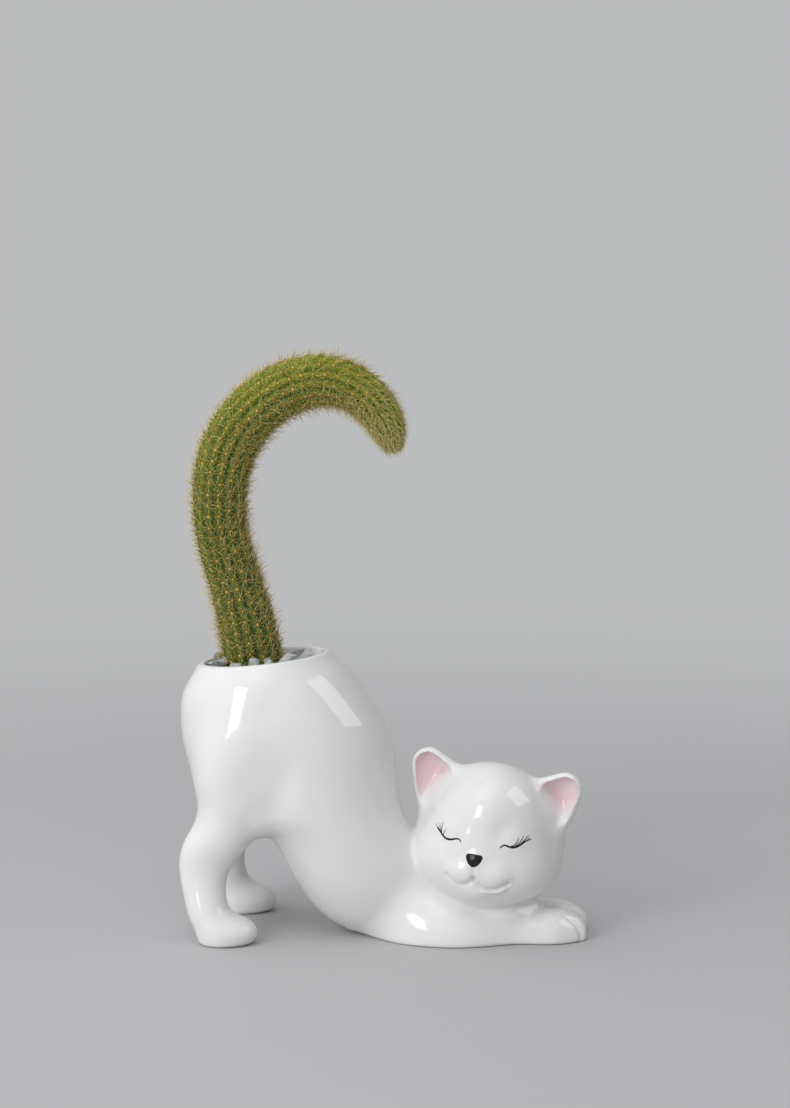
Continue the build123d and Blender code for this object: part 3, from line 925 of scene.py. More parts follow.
# Each stroke of the eyes: its points, and its half width at the start, in the middle and at the end
EYE_STROKES = (
    (((-24.9, 3.5), (-22.7, 2.0), (-20.9, 0.7), (-17.8, -0.2), (-14.8, 0.5), (-12.7, 1.3), (-10.8, 1.1),
      (-10.0, 0.0)), (0.22, 0.42, 0.20)),
    (((10.4, 0.7), (12.2, 2.5), (14.9, 2.0), (17.5, 2.0), (19.8, 3.2), (22.6, 5.5), (24.6, 6.3)),
     (0.22, 0.42, 0.16)),
    (((-22.7, 2.0), (-24.6, 3.0), (-26.3, 5.2)), (0.24, 0.20, 0.06)),
    (((-22.2, 1.6), (-23.3, 3.4), (-23.9, 6.2)), (0.24, 0.20, 0.06)),
    (((-21.7, 1.3), (-22.3, 3.6), (-22.0, 7.2)), (0.24, 0.18, 0.06)),
    (((-20.6, 0.8), (-20.4, 2.6), (-19.4, 4.3)), (0.20, 0.15, 0.05)),
    (((15.4, 2.1), (17.6, 3.4), (18.6, 7.0)), (0.20, 0.18, 0.06)),
    (((17.4, 2.2), (19.6, 4.6), (20.8, 8.2)), (0.22, 0.18, 0.06)),
    (((19.3, 3.0), (21.2, 5.2), (22.9, 8.6)), (0.22, 0.18, 0.06)),
    (((21.6, 4.8), (23.0, 6.2), (23.6, 7.6)), (0.20, 0.14, 0.05)),
)


def on_face(u, w):
    """The points of the face in front of places (u, w), and the ways out of the glaze there."""
    start = from_head(np.stack((u, np.full(len(u), PAINT_FROM), w), 1))
    hit = cast(cat_distance, start, HEAD_AXES[1][None], PAINT_REACH)
    return hit, slopes(cat_distance, hit, NORMAL_REACH)[0]


def build_nose():
    """The black nose: a low button over the muzzle."""
    outline = np.array(NOSE_OUTLINE + NOSE_OUTLINE[:1])
    middle = outline[:-1].mean(0)
    spokes, rings = 56, 10
    edge = np.stack(cubic(np.linspace(0, 1, len(outline)), outline)(np.arange(spokes) / spokes), 1)
    reach = np.linspace(0, 1, rings + 1)[1:]
    places = np.concatenate([[middle]] + [middle + (edge - middle) * r for r in reach])
    rise = np.concatenate([[NOSE_RISE]] + [np.full(spokes, NOSE_RISE * math.sqrt(1 - r**4) - PAINT_SINK * r)
                                           for r in reach])
    hit, out = on_face(*places.T)
    faces = np.concatenate([fan(0, 1, spokes, -1), ring_faces(rings, spokes, 1)[:, ::-1]])
    nose = add_mesh("painted_nose", hit + out * rise[:, None], faces, bpy.data.materials["black_glaze"])
    settle_piece(nose, "white_glaze")


def stroke_mesh(points, widths, samples):
    """One stroke of paint: a low ridge along a curve on the face."""
    points = np.array(points)
    walk = np.concatenate([[0], np.cumsum(np.hypot(*np.diff(points, axis=0).T))])
    t = np.linspace(0, walk[-1], samples)
    u, w = cubic(walk, points)(t)
    du, dw = np.gradient(u), np.gradient(w)
    size = np.hypot(du, dw)
    half = np.interp(t / walk[-1], (0, 0.5, 1), widths)
    from_end = np.minimum(t, walk[-1] - t)
    half = STROKE_WIDEN * half * np.minimum(1, from_end / STROKE_POINT + STROKE_END_SHARE)
    across = np.array((-1.0, -0.5, 0.0, 0.5, 1.0))
    shoulder = STROKE_SHOULDER_SHARE * PAINT_RISE
    lift = np.array((-PAINT_SINK, shoulder, PAINT_RISE, shoulder, -PAINT_SINK))
    pu = u[:, None] - (dw / size * half)[:, None] * across
    pw = w[:, None] + (du / size * half)[:, None] * across
    hit, out = on_face(pu.ravel(), pw.ravel())
    vertices = hit + out * np.tile(lift, samples)[:, None]
    count = len(across)
    faces = [(i * count + k, i * count + k + 1, (i + 1) * count + k + 1, (i + 1) * count + k)
             for i in range(samples - 1) for k in range(count - 1)]
    return vertices, np.array(faces)


def build_eyes():
    """The closed eyes with their lashes, painted on."""
    vertices, faces, count = [], [], 0
    for points, widths in EYE_STROKES:
        some, more = stroke_mesh(points, widths, 12 * len(points))
        vertices.append(some)
        faces.append(more + count)
        count += len(some)
    eyes = add_mesh("painted_eyes", np.concatenate(vertices), np.concatenate(faces),
                    bpy.data.materials["black_glaze"])
    settle_piece(eyes, "white_glaze")


# The cactus: its centre line (x, z) and its radius at even steps along it, as in the solids

STEM_RADIUS = 14.0
STEM_PATH_SHARES = (
    (-0.319, 0.900),
    (-0.333, 1.020),
    (-0.366, 1.240),
    (-0.404, 1.431),
    (-0.411, 1.580),
    (-0.390, 1.744),
    (-0.324, 1.887),
    (-0.230, 1.975),
    (-0.136, 1.996),
    (-0.052, 1.945),
    (0.000, 1.853),
    (0.026, 1.737),
)
STEM_RADIUS_SHARES = (1.06, 1.08, 1.01, 0.97, 0.98, 1.02, 1.03, 1.02, 0.97, 0.88, 0.74, 0.52)
STEM_START = 1.0
STEM_DOME = 18.0
STEM_ROW = 1.1
RIB_COUNT = 15
RIB_POINTS = 8
RIB_TURN = math.radians(-97.0)
RIB_DEPTH = 1.5
RIB_SHARPNESS = 0.8

# On a thinner stem the ribs keep this much more than their share of depth; the relief fades near the tip
RIB_KEEP_SHARE = 1.1
RELIEF_FADE_RADIUS = 4.0

# The cushions of spines along each rib: their spacing on the old and on the young part of the stem, how
# uneven their places are (length and angle), the skin's swelling under them, and the felt of each
CUSHION_STEP = 5.7
CUSHION_YOUNG_STEP = 2.7
CUSHION_TIP_ROOM = 1.5
CUSHION_STRAY = (0.35, 0.02)
YOUNG_LENGTH = 58.0
CUSHION_RISE = 0.75
CUSHION_REACH = 1.5
PAD_RADIUS = 0.80
PAD_HEIGHT = 0.55
PAD_SIZES = (0.8, 1.15)
PAD_SINK_SHARE = 0.3

# A pad's size by the stem's radius there: what it keeps on the thinnest stem, and what the radius adds
PAD_LEAST_SHARE = 0.45
PAD_GROWTH_SHARE = 0.6

# The lengths along the stem, as shares, over which its skin turns lime; how lime it is at least, how much
# more on the arch, the painted light that the outer side gets, and the share of the arch's lime that the
# inner side keeps, darker as painted shade
LIME_HEIGHT_SHARES = (0.30, 0.72)
LIME_LEAST = 0.12
LIME_ON_ARCH = 0.75
OUTSIDE_PAINTED_LIGHT = 0.18
LIME_INNER_SHARE = 0.45

# The lime and the painted light of the ribs at the stem's two ends, and the painted light on the skin's
# swelling by a cushion
END_LIME = 0.6
END_RIB_PAINTED_LIGHT = 0.5
CUSHION_PAINTED_LIGHT = 0.6

# The spines of one cushion: their count, length, rise over the skin in degrees, lean to the tip, and how wide
# they fan out; then their radius, and their tone from dark gold at 0 to cream at 1
RADIAL_SPINES = (12, (2.8, 5.4), (12, 36), 0.15, 1.0)
CENTRAL_SPINES = (3, (5.5, 8.5), (42, 74), 0.35, 0.8)
HAIRS = (2, (8.0, 14.0), (18, 46), 0.6, 0.5)
SPINE_LOOKS = ((0.16, (0.25, 1.0)), (0.184, (0.0, 0.75)), (0.10, (0.85, 1.0)))
HAIR_SHARE = 0.85
SPINE_SIZES = (0.75, 1.2)
SPINE_SAG = 0.5
SPINE_SINK = 0.2
SPINE_FOOT_SHARE = 0.45
SPINE_MIDDLE_SHARE = 0.72
SPINE_TURN_STRAY = 0.8
SPINE_LEAN_STRAY = (0.6, 1.4)
SPINE_SEED = 11

# How the spines change on the young part: more lean, less length, and paler
YOUNG_LEAN = 0.9
YOUNG_SHORTER_SHARE = 0.4
YOUNG_PALER_SHARE = 0.9


def stem_curve():
    """The stem's centre line by length, as a function of middle x, middle z and radius, and its length."""
    places = np.array(STEM_PATH_SHARES) * (CAT_LENGTH, MOUTH_HEIGHT)
    walk = np.concatenate([[0], np.cumsum(np.hypot(*np.diff(places, axis=0).T))])
    line = cubic(walk, places)
    swell = cubic(np.linspace(0, walk[-1], len(STEM_RADIUS_SHARES)), np.array(STEM_RADIUS_SHARES)[:, None])
    return line, swell, walk[-1]


STEM_LINE, STEM_SWELL, STEM_LENGTH = stem_curve()


def stem_frame(t):
    """Middle, tangent and outward axis of the stem at lengths along it."""
    nudge = 0.5
    x, z = STEM_LINE(t)
    x0, z0 = STEM_LINE(np.maximum(t - nudge, 0))
    x1, z1 = STEM_LINE(np.minimum(t + nudge, STEM_LENGTH))
    size = np.hypot(x1 - x0, z1 - z0)
    tx, tz = (x1 - x0) / size, (z1 - z0) / size
    flat = np.zeros_like(tx)
    return np.stack((x, flat, z), 1), np.stack((tx, flat, tz), 1), np.stack((-tz, flat, tx), 1)


def stem_radius(t):
    """The radius at the crests of the ribs, closing in a dome at the tip."""
    into = np.clip((t - STEM_LENGTH + STEM_DOME) / STEM_DOME, 0, 1)
    return STEM_RADIUS * STEM_SWELL(t)[0] * np.sqrt(1 - into**2)


def youth(t):
    """How young the stem is at lengths along it: 1 at the tip, 0 over the old part."""
    return ramp(t, STEM_LENGTH - YOUNG_LENGTH, STEM_LENGTH)


def cushion_rows():
    """The lengths along the stem at which the cushions of even ribs sit; odd ribs' sit half way between."""
    t, rows = STEM_START, []
    while t < STEM_LENGTH - CUSHION_TIP_ROOM:
        rows.append(t)
        t += CUSHION_STEP + (CUSHION_YOUNG_STEP - CUSHION_STEP) * youth(t)
    return np.array(rows)


def cushion_places():
    """The length and the angle of every cushion, a little uneven."""
    draw = np.random.default_rng(SPINE_SEED)
    even = cushion_rows()
    odd = (even[:-1] + even[1:]) / 2
    columns = [odd if rib % 2 else even for rib in range(RIB_COUNT)]
    t = np.concatenate(columns)
    rib = np.repeat(np.arange(RIB_COUNT), [len(column) for column in columns])
    along, turn = CUSHION_STRAY
    t = t + draw.uniform(-along, along, len(t))
    return t, RIB_TURN - 2 * math.pi * rib / RIB_COUNT + draw.uniform(-turn, turn, len(t))


def stem_points(t, angle, lift=0.0):
    """Points over the stem's skin, with the ways along it, round it and out of it."""
    middle, along, outward = stem_frame(t)
    side = np.array((0.0, 1.0, 0.0))
    out = outward * np.cos(angle)[:, None] + side * np.sin(angle)[:, None]
    nudge, least = 0.4, 0.05
    taper = (stem_radius(np.minimum(t + nudge, STEM_LENGTH)) - stem_radius(t - nudge)) / (2 * nudge)
    normal = unit(out - along * np.clip(taper, -3, 0.5)[:, None])
    forward = along - normal * (along * normal).sum(1)[:, None]
    size = np.sqrt((forward**2).sum(1))[:, None]
    forward = np.where(size > least, forward / np.maximum(size, least), out)
    spot = middle + out * stem_radius(t)[:, None] + normal * lift
    return spot, forward, np.cross(forward, normal), normal


def lime_and_painted_light(t, angle):
    """How lime the skin is: more lime higher up over the arch, with painted light on the outer side and
    painted shade on the inner side.
    """
    high = ramp(t / STEM_LENGTH, *LIME_HEIGHT_SHARES)
    # Painted light and shade: the outer side of the stem's curve made lighter, the inner side darker
    outer = 0.5 + 0.5 * np.cos(angle)
    inner = LIME_INNER_SHARE + (1 - LIME_INNER_SHARE) * outer
    return np.clip(LIME_LEAST + LIME_ON_ARCH * high * inner + OUTSIDE_PAINTED_LIGHT * outer, 0, 1)


def build_stem():
    """The ribbed green stem, swollen under each cushion of spines."""
    rows = int((STEM_LENGTH - STEM_START) / STEM_ROW)
    around = RIB_COUNT * RIB_POINTS
    t = np.linspace(STEM_START, STEM_LENGTH - STEM_ROW / 4, rows)
    turn = RIB_TURN - 2 * math.pi * np.arange(around) / around
    tt, aa = np.repeat(t, around), np.tile(turn, rows)
    crest = np.abs(np.cos(RIB_COUNT * (aa - RIB_TURN) / 2)) ** RIB_SHARPNESS
    radius = stem_radius(tt)
    depth = RIB_DEPTH * np.minimum(1, radius / STEM_RADIUS * RIB_KEEP_SHARE)
    swollen, reach = np.zeros(len(tt)), 4
    for ct, ca in zip(*cushion_places()):
        first, last = np.searchsorted(t, (ct - reach, ct + reach))
        part = slice(first * around, last * around)
        across = (np.remainder(aa[part] - ca + math.pi, 2 * math.pi) - math.pi) * radius[part]
        bulge = np.exp(-((tt[part] - ct) ** 2 + across**2) / CUSHION_REACH**2)
        swollen[part] = np.maximum(swollen[part], bulge)
    vertices, _, _, normal = stem_points(tt, aa)
    rise = CUSHION_RISE * swollen - depth * (1 - crest) - CUSHION_RISE * 0.5
    small = np.minimum(1, radius / RELIEF_FADE_RADIUS)
    vertices = vertices + normal * (rise * small)[:, None]
    foot, tip = len(vertices), len(vertices) + 1
    lids = [fan(foot, 0, around), fan(tip, (rows - 1) * around, around, -1)]
    faces = np.concatenate([ring_faces(rows, around), *lids])
    vertices = np.concatenate([vertices, stem_frame(np.array((STEM_START, STEM_LENGTH)))[0]])
    stem = add_mesh("cactus_stem", vertices, faces, stem_material())
    # Painted light and shade: lighter on the rib crests and on the swellings by the cushions, darker in the
    # grooves
    light = np.clip(crest + CUSHION_PAINTED_LIGHT * swollen, 0, 1)
    add_attribute(stem, "lime", np.append(lime_and_painted_light(tt, aa), (END_LIME, END_LIME)))
    add_attribute(stem, "crest", np.append(light, (END_RIB_PAINTED_LIGHT, END_RIB_PAINTED_LIGHT)))
    settle_piece(stem, "cactus_skin", "cactus_skin", "cactus_core")


def build_pads():
    """The felt cushions that the spines grow from."""
    t, angle = cushion_places()
    draw = np.random.default_rng(SPINE_SEED + 1)
    spot, forward, side, normal = stem_points(t, angle, -PAD_HEIGHT * PAD_SINK_SHARE)
    size = PAD_RADIUS * np.minimum(1, PAD_LEAST_SHARE + stem_radius(t) / STEM_RADIUS * PAD_GROWTH_SHARE)
    size = (size * draw.uniform(*PAD_SIZES, len(t)))[:, None]
    rings, corners, layers = ((1.0, 0.0), (0.9, 0.55), (0.5, 0.92)), 8, []
    for width, rise in rings:
        for turn in 2 * math.pi * np.arange(corners) / corners:
            away = forward * math.cos(turn) + side * math.sin(turn)
            layers.append(spot + normal * (PAD_HEIGHT * rise) + size * width * away)
    layers.append(spot + normal * PAD_HEIGHT)
    count = len(layers)
    under = [(0, i, i + 1) for i in range(1, corners - 1)]
    faces = [ring_faces(len(rings), corners), fan(count - 1, count - 1 - corners, corners, -1), under]
    faces = copied_faces(np.concatenate(faces), count, len(t))
    pads = add_mesh("spine_cushions", np.stack(layers, 1).reshape(-1, 3), faces, felt_material())
    add_attribute(pads, "tone", np.repeat(draw.uniform(0, 1, len(t)), count))
    settle_piece(pads, "cactus_skin")


def spine_mesh(feet, ways, lengths, radii, sag):
    """Thin three-sided spines, each in two joints with a light bend, ending in a point."""
    askew = np.array((0.31, 0.52, 0.79))
    ways = unit(ways)
    side = unit(np.cross(ways, askew))
    up = np.cross(ways, side)
    mids = feet + ways * (lengths * 0.5)[:, None] - sag * 0.25
    tips = feet + ways * lengths[:, None] + sag * 0.5
    corners = [2 * math.pi * i / 3 for i in range(3)]
    layers = [base + (side * math.cos(a) + up * math.sin(a)) * (radii * width)[:, None]
              for base, width in ((feet, 1.0), (mids, SPINE_MIDDLE_SHARE)) for a in corners]
    vertices = np.stack([*layers, tips], 1).reshape(-1, 3)
    faces = [(2, 1, 0)]
    for i in range(3):
        j = (i + 1) % 3
        faces += [(i, j, 3 + j), (i, 3 + j, 3 + i), (3 + i, 3 + j, 6)]
    return vertices, copied_faces(faces, len(layers) + 1, len(feet))


def spines_of(draw, places, count, length, rise, lean, spread):
    """The feet, ways, lengths and youth of so many spines in every cushion."""
    spot, forward, side, normal, young = (np.repeat(value, count, axis=0) for value in places)
    number = len(spot)
    stray = draw.uniform(0, SPINE_TURN_STRAY, number)
    turn = 2 * math.pi * (np.tile(np.arange(count), number // count) + stray) / count
    turn = (np.remainder(turn + math.pi, 2 * math.pi) - math.pi) * spread
    up = np.radians(draw.uniform(*rise, number))
    flat = forward * np.cos(turn)[:, None] + side * np.sin(turn)[:, None]
    ways = flat * np.cos(up)[:, None] + normal * np.sin(up)[:, None]
    more = (lean + YOUNG_LEAN * young)[:, None] * draw.uniform(*SPINE_LEAN_STRAY, number)[:, None]
    ways = ways + forward * more
    lengths = draw.uniform(*length, number) * (1 - YOUNG_SHORTER_SHARE * young**2)
    feet = spot + flat * (PAD_RADIUS * SPINE_FOOT_SHARE) - normal * SPINE_SINK
    return feet, ways, lengths, young


def build_spines():
    """Star-like radial spines, a few longer central ones, and fine pale hairs."""
    draw = np.random.default_rng(SPINE_SEED + 2)
    t, angle = cushion_places()
    keep = t > STEM_START
    places = [*stem_points(t[keep], angle[keep]), youth(t[keep])]
    groups = [spines_of(draw, places, *form) for form in (RADIAL_SPINES, CENTRAL_SPINES)]
    hairy = draw.uniform(0, 1, keep.sum()) < HAIR_SHARE
    groups.append(spines_of(draw, [value[hairy] for value in places], *HAIRS))
    feet, ways, lengths, young = (np.concatenate(values) for values in zip(*groups))
    counts = [len(group[0]) for group in groups]
    radii = np.repeat([radius for radius, _ in SPINE_LOOKS], counts)
    tones = np.concatenate([draw.uniform(*tone, count) for (_, tone), count in zip(SPINE_LOOKS, counts)])
    tones = tones + (1 - tones) * YOUNG_PALER_SHARE * young
    sag = draw.normal(0, SPINE_SAG, (len(feet), 3))
    vertices, faces = spine_mesh(feet, ways, lengths, radii * draw.uniform(*SPINE_SIZES, len(feet)), sag)
    spines = add_mesh("cactus_spines", vertices, faces, spine_material())
    along = (0, 0, 0, 0.5, 0.5, 0.5, 1)
    add_attribute(spines, "tone", np.repeat(tones, len(along)))
    add_attribute(spines, "along", np.tile(along, len(feet)))
    settle_piece(spines, "cactus_skin")


def stem_material():
    """Waxy green skin, darker low down and lime on the arch; painted shade darkens the grooves, painted light
    the crests, and the lime carries painted light and shade on the arch's two sides.
    """
    made, shader = material("cactus_skin", (0.10, 0.18, 0.02), 0.45, Specular_IOR_Level=0.25)
    patch = patches(made, 130.0, 4.0)
    dark = blend_colours(made, patch, (0.032, 0.074, 0.005), (0.060, 0.112, 0.007))
    bright = blend_colours(made, patch, (0.165, 0.220, 0.005), (0.255, 0.295, 0.008))
    skin = blend_colours(made, painted(made, "lime"), dark, bright)
    # Painted shade: the grooves between the ribs are darkened, the crests and cushion swellings left light
    shade = blend_colours(made, painted(made, "crest"), (0.42, 0.50, 0.34), (1.0, 1.0, 1.0))
    mix = node(made, "ShaderNodeMix", {6: skin, 7: shade, 0: 1.0}, data_type="RGBA", blend_type="MULTIPLY")
    coat(made, shader, mix.outputs[2], patches(made, 500.0, to=(0.36, 0.55)))
    bump(made, shader, 900.0, 4.0, 0.35, 0.0003)
    return made


def felt_material():
    """The tan and cream felt of the cushions."""
    made, shader = material("cushion_felt", (0.55, 0.38, 0.12), 0.9, Specular_IOR_Level=0.15)
    felt = blend_colours(made, painted(made, "tone"), (0.52, 0.28, 0.04), (0.80, 0.66, 0.26))
    fleck = levels(made, place_noise(made, 2600.0, 2.0), 0.35, 0.65)
    coat(made, shader, blend_colours(made, fleck, felt, (0.64, 0.46, 0.12)))
    bump(made, shader, 4000.0, 2.0, 0.6, 0.0003)
    return made


def spine_material():
    """Horny spines: orange brown at the foot, gold to cream towards the point, the hairs nearly white."""
    made, shader = material("cactus_spines", (0.6, 0.45, 0.15), 0.42, Specular_IOR_Level=0.2)
    tone = painted(made, "tone")
    foot = blend_colours(made, tone, (0.40, 0.17, 0.012), (0.66, 0.46, 0.08))
    point = blend_colours(made, tone, (0.62, 0.43, 0.06), (0.86, 0.78, 0.40))
    coat(made, shader, blend_colours(made, levels(made, painted(made, "along"), 0.05, 0.6), foot, point))
    return made


# The planting: soil and stone chips

SOIL_HALVES = (31.2, 30.4)
SOIL_INTO_WALL = (1.8, 1.6)
SOIL_DEPTH = 1.0
SOIL_RISE = 0.75
SOIL_MIDDLE_RISE = 0.8
STEM_FOOT = (-69.6, 0.0)
CHIP_SEED = 5

# The strewn stones: half length, width and height, the heights of their two layers over the soil, how far
# each may stray from its layer, lean in degrees, tries for each layer, and how closely they lie
CHIP_HALVES = ((2.9, 4.6), (2.5, 3.7), (1.8, 2.7))
LAYER_RISES = (1.2, 4.2)
CHIP_STRAY = (-0.3, 0.4)
CHIP_LEAN = (-16, 16)
CHIP_TRIES = 900
CHIP_CLOSENESS_SHARE = 0.80
CHIP_WEAR = 0.22

# The room that a strewn stone keeps from the wall and from the stem, as shares of its half length, how much
# more a step up counts in the closeness, how far the draw of shades leans to pale, and where pale starts
WALL_ROOM_SHARE = 0.95
STEM_ROOM_SHARE = 0.9
CHIP_STEP_SHARE = 0.9
SHADE_POWER = 0.6
PALE_FROM = 0.5

# The second layer starts this far past the middle of the mouth, and leaves out this share of its stones
UPPER_START = 6
UPPER_GAP_SHARE = 0.3
CRUMB_COUNT = 260
CRUMB_SIZES = (0.35, 1.15)
CRUMB_SHAPE_SHARES = (1, 0.9, 0.75)
CRUMB_CORNERS = 9
CRUMB_WEAR = 0.1
CRUMB_SEAT_SHARE = 0.3

# The stones that show over the rim: middle (x, y, z), half length, width and height, turn, lean and shade
SEEN_CHIPS = (
    ((-86.5, -9.0, 145.2), (4.7, 3.9, 3.2), 20, 0, 0.95),
    ((-88.7, 7.0, 145.1), (4.2, 3.6, 3.0), 65, 8, 0.25),
    ((-75.3, -24.0, 144.6), (4.2, 3.1, 2.2), 10, 4, 0.80),
    ((-66.5, -22.6, 145.9), (3.9, 3.5, 3.5), -15, 6, 0.90),
    ((-58.2, -21.6, 146.1), (3.6, 3.4, 3.7), 30, -8, 0.95),
    ((-50.0, -14.5, 147.0), (7.0, 4.0, 3.4), 12, -32, 1.00),
    ((-46.8, 6.0, 146.9), (5.8, 3.6, 2.8), 25, -28, 0.30),
    ((-43.0, 1.0, 147.3), (5.6, 3.8, 2.2), -10, -36, 0.95),
    ((-44.4, -12.5, 145.9), (3.5, 3.1, 3.0), 50, 10, 0.95),
    ((-39.8, -4.5, 146.0), (3.9, 3.5, 3.2), 5, -12, 0.85),
)


def chip_form(draw, halves, corners=11):
    """The points of a broken stone: corners on a flattened ball, some of them knocked off."""
    swell, knocked_off = 1.18, 0.86
    return np.clip(unit(draw.normal(0, 1, (corners, 3))) * swell, -knocked_off, knocked_off) * halves


def turned(points, turn, lean):
    """Points leant about y and then turned about z, in degrees."""
    a, b = math.radians(turn), math.radians(lean)
    about_y = np.array(((math.cos(b), 0, math.sin(b)), (0, 1, 0), (-math.sin(b), 0, math.cos(b))))
    about_z = np.array(((math.cos(a), -math.sin(a), 0), (math.sin(a), math.cos(a), 0), (0, 0, 1)))
    return points @ (about_z @ about_y).T


def room_at(x, y):
    """How far inside the wall a place of the mouth lies, and how far from the stem."""
    wall_room = (1 - math.hypot((x - MOUTH_MIDDLE) / SOIL_HALVES[0], y / SOIL_HALVES[1])) * SOIL_HALVES[1]
    return wall_room, math.hypot(x - STEM_FOOT[0], y - STEM_FOOT[1]) - STEM_RADIUS


def drawn_place(draw):
    """A place of the mouth's soil, drawn at random."""
    x = MOUTH_MIDDLE + draw.uniform(-1, 1) * SOIL_HALVES[0]
    return x, draw.uniform(-1, 1) * SOIL_HALVES[1]


def chip_list(draw):
    """Every stone chip: the seen ones, and others strewn over the rest of the soil."""
    chips = [(np.array(middle), np.array(halves), turn, lean, shade)
             for middle, halves, turn, lean, shade in SEEN_CHIPS]
    for layer, rise in enumerate(LAYER_RISES):
        for _ in range(CHIP_TRIES):
            x, y = drawn_place(draw)
            halves = np.array([draw.uniform(*reach) for reach in CHIP_HALVES])
            wall_room, stem_room = room_at(x, y)
            if wall_room < halves[0] * WALL_ROOM_SHARE or stem_room < halves[0] * STEM_ROOM_SHARE:
                continue
            if layer and (x < MOUTH_MIDDLE + UPPER_START or draw.uniform(0, 1) < UPPER_GAP_SHARE):
                continue
            middle = np.array((x, y, SOIL_LEVEL + rise + draw.uniform(*CHIP_STRAY)))
            apart = min(np.linalg.norm((middle - other[0]) / (1, 1, CHIP_STEP_SHARE))
                        - CHIP_CLOSENESS_SHARE * (halves[0] + other[1][0]) for other in chips)
            if apart > 0:
                turn, lean = draw.uniform(0, 360), draw.uniform(*CHIP_LEAN)
                chips.append((middle, halves, turn, lean, draw.uniform(0, 1) ** SHADE_POWER))
    return chips


def hull_piece(name, forms, made, edge, flat=math.radians(14)):
    """One mesh of many convex stones with worn edges; corners flatter than an angle are smoothed away."""
    whole = bmesh.new()
    for points in forms:
        stone = bmesh.new()
        for point in points:
            stone.verts.new(point * MM)
        result = bmesh.ops.convex_hull(stone, input=stone.verts)
        spare = [item for item in result["geom_interior"] if isinstance(item, bmesh.types.BMVert)]
        bmesh.ops.delete(stone, geom=spare, context="VERTS")
        bmesh.ops.dissolve_limit(stone, angle_limit=flat, verts=stone.verts, edges=stone.edges)
        bmesh.ops.bevel(stone, geom=list(stone.edges), offset=edge * MM, segments=2, profile=0.6,
                        affect="EDGES")
        bmesh.ops.triangulate(stone, faces=stone.faces)
        bmesh.ops.recalc_face_normals(stone, faces=stone.faces)
        part = bpy.data.meshes.new("part")
        stone.to_mesh(part)
        stone.free()
        whole.from_mesh(part)
        bpy.data.meshes.remove(part)
    mesh = bpy.data.meshes.new(name)
    whole.to_mesh(mesh)
    whole.free()
    mesh.polygons.foreach_set("use_smooth", np.zeros(len(mesh.polygons), bool))
    mesh.materials.append(made)
    return add_object(name, mesh)


def build_gravel():
    """The stone chips in two shades."""
    draw = np.random.default_rng(CHIP_SEED)
    forms = {True: [], False: []}
    for middle, halves, turn, lean, shade in chip_list(draw):
        forms[shade > PALE_FROM].append(turned(chip_form(draw, halves), turn, lean) + middle)
    for name, pale, low, high in (("gravel_pale", True, 0.38, 0.58), ("gravel_grey", False, 0.17, 0.30)):
        piece = hull_piece(name + "_chips", forms[pale], stone_material(name, low, high), CHIP_WEAR)
        settle_piece(piece, name, name)


def stone_material(name, low, high):
    """Broken stone: faint green grey grain with darker veins and a dull, rough face."""
    made, shader = material(name, (high, high, high), 0.72)
    tints = (low * 0.97, low * 1.03, low), (high * 0.96, high * 1.01, high)
    base = blend_colours(made, patches(made, 700.0, 5.0, 0.65), *tints)
    vein = levels(made, place_noise(made, 160.0), 0.60, 0.68)
    base = blend_colours(made, vein, base, (low * 0.62, low * 0.68, low * 0.66))
    coat(made, shader, base, patches(made, 350.0, to=(0.55, 0.85)))
    bump(made, shader, 1500.0, 5.0, 0.5, 0.0005)
    return made


def soil_height(x, y):
    """The lumpy surface of the soil."""
    lumps = 0.45 * np.sin(x * 0.9 + 1.0) * np.cos(y * 0.8 + 0.4)
    swells = 0.35 * np.sin(x * 0.37 - y * 0.51)
    return SOIL_LEVEL + SOIL_RISE + lumps + swells


def build_soil():
    """The loose top of the soil, out to the wall, with crumbs on it."""
    rings, spokes = 18, 96
    share = np.repeat(np.linspace(0, 1, rings + 1)[1:], spokes)
    angle = np.tile(2 * math.pi * np.arange(spokes) / spokes, rings)
    half_x, half_y = (half + more for half, more in zip(SOIL_HALVES, SOIL_INTO_WALL))
    x, y = MOUTH_MIDDLE + share * half_x * np.cos(angle), share * half_y * np.sin(angle)
    top = np.stack((x, y, soil_height(x, y)), 1)
    under = SOIL_LEVEL - SOIL_DEPTH
    low = top[-spokes:] * (1, 1, 0) + (0, 0, under)
    middles = [(MOUTH_MIDDLE, 0, SOIL_LEVEL + SOIL_MIDDLE_RISE), (MOUTH_MIDDLE, 0, under)]
    vertices = np.concatenate([top, low, middles])
    lids = [fan(len(vertices) - 2, 0, spokes), fan(len(vertices) - 1, rings * spokes, spokes, -1)]
    faces = np.concatenate([ring_faces(rings + 1, spokes), *lids])
    made = soil_material("potting_soil_loose")
    soil = add_mesh("soil_top", vertices, faces, made)
    settle_piece(soil, "soil")
    draw = np.random.default_rng(CHIP_SEED + 1)
    crumbs = []
    while len(crumbs) < CRUMB_COUNT:
        x, y = drawn_place(draw)
        size = draw.uniform(*CRUMB_SIZES)
        if min(room_at(x, y)) > size:
            spot = np.array((x, y, soil_height(x, y) + size * CRUMB_SEAT_SHARE))
            crumbs.append(chip_form(draw, size * np.array(CRUMB_SHAPE_SHARES), CRUMB_CORNERS) + spot)
    settle_piece(hull_piece("soil_crumbs", crumbs, made, CRUMB_WEAR), "soil")


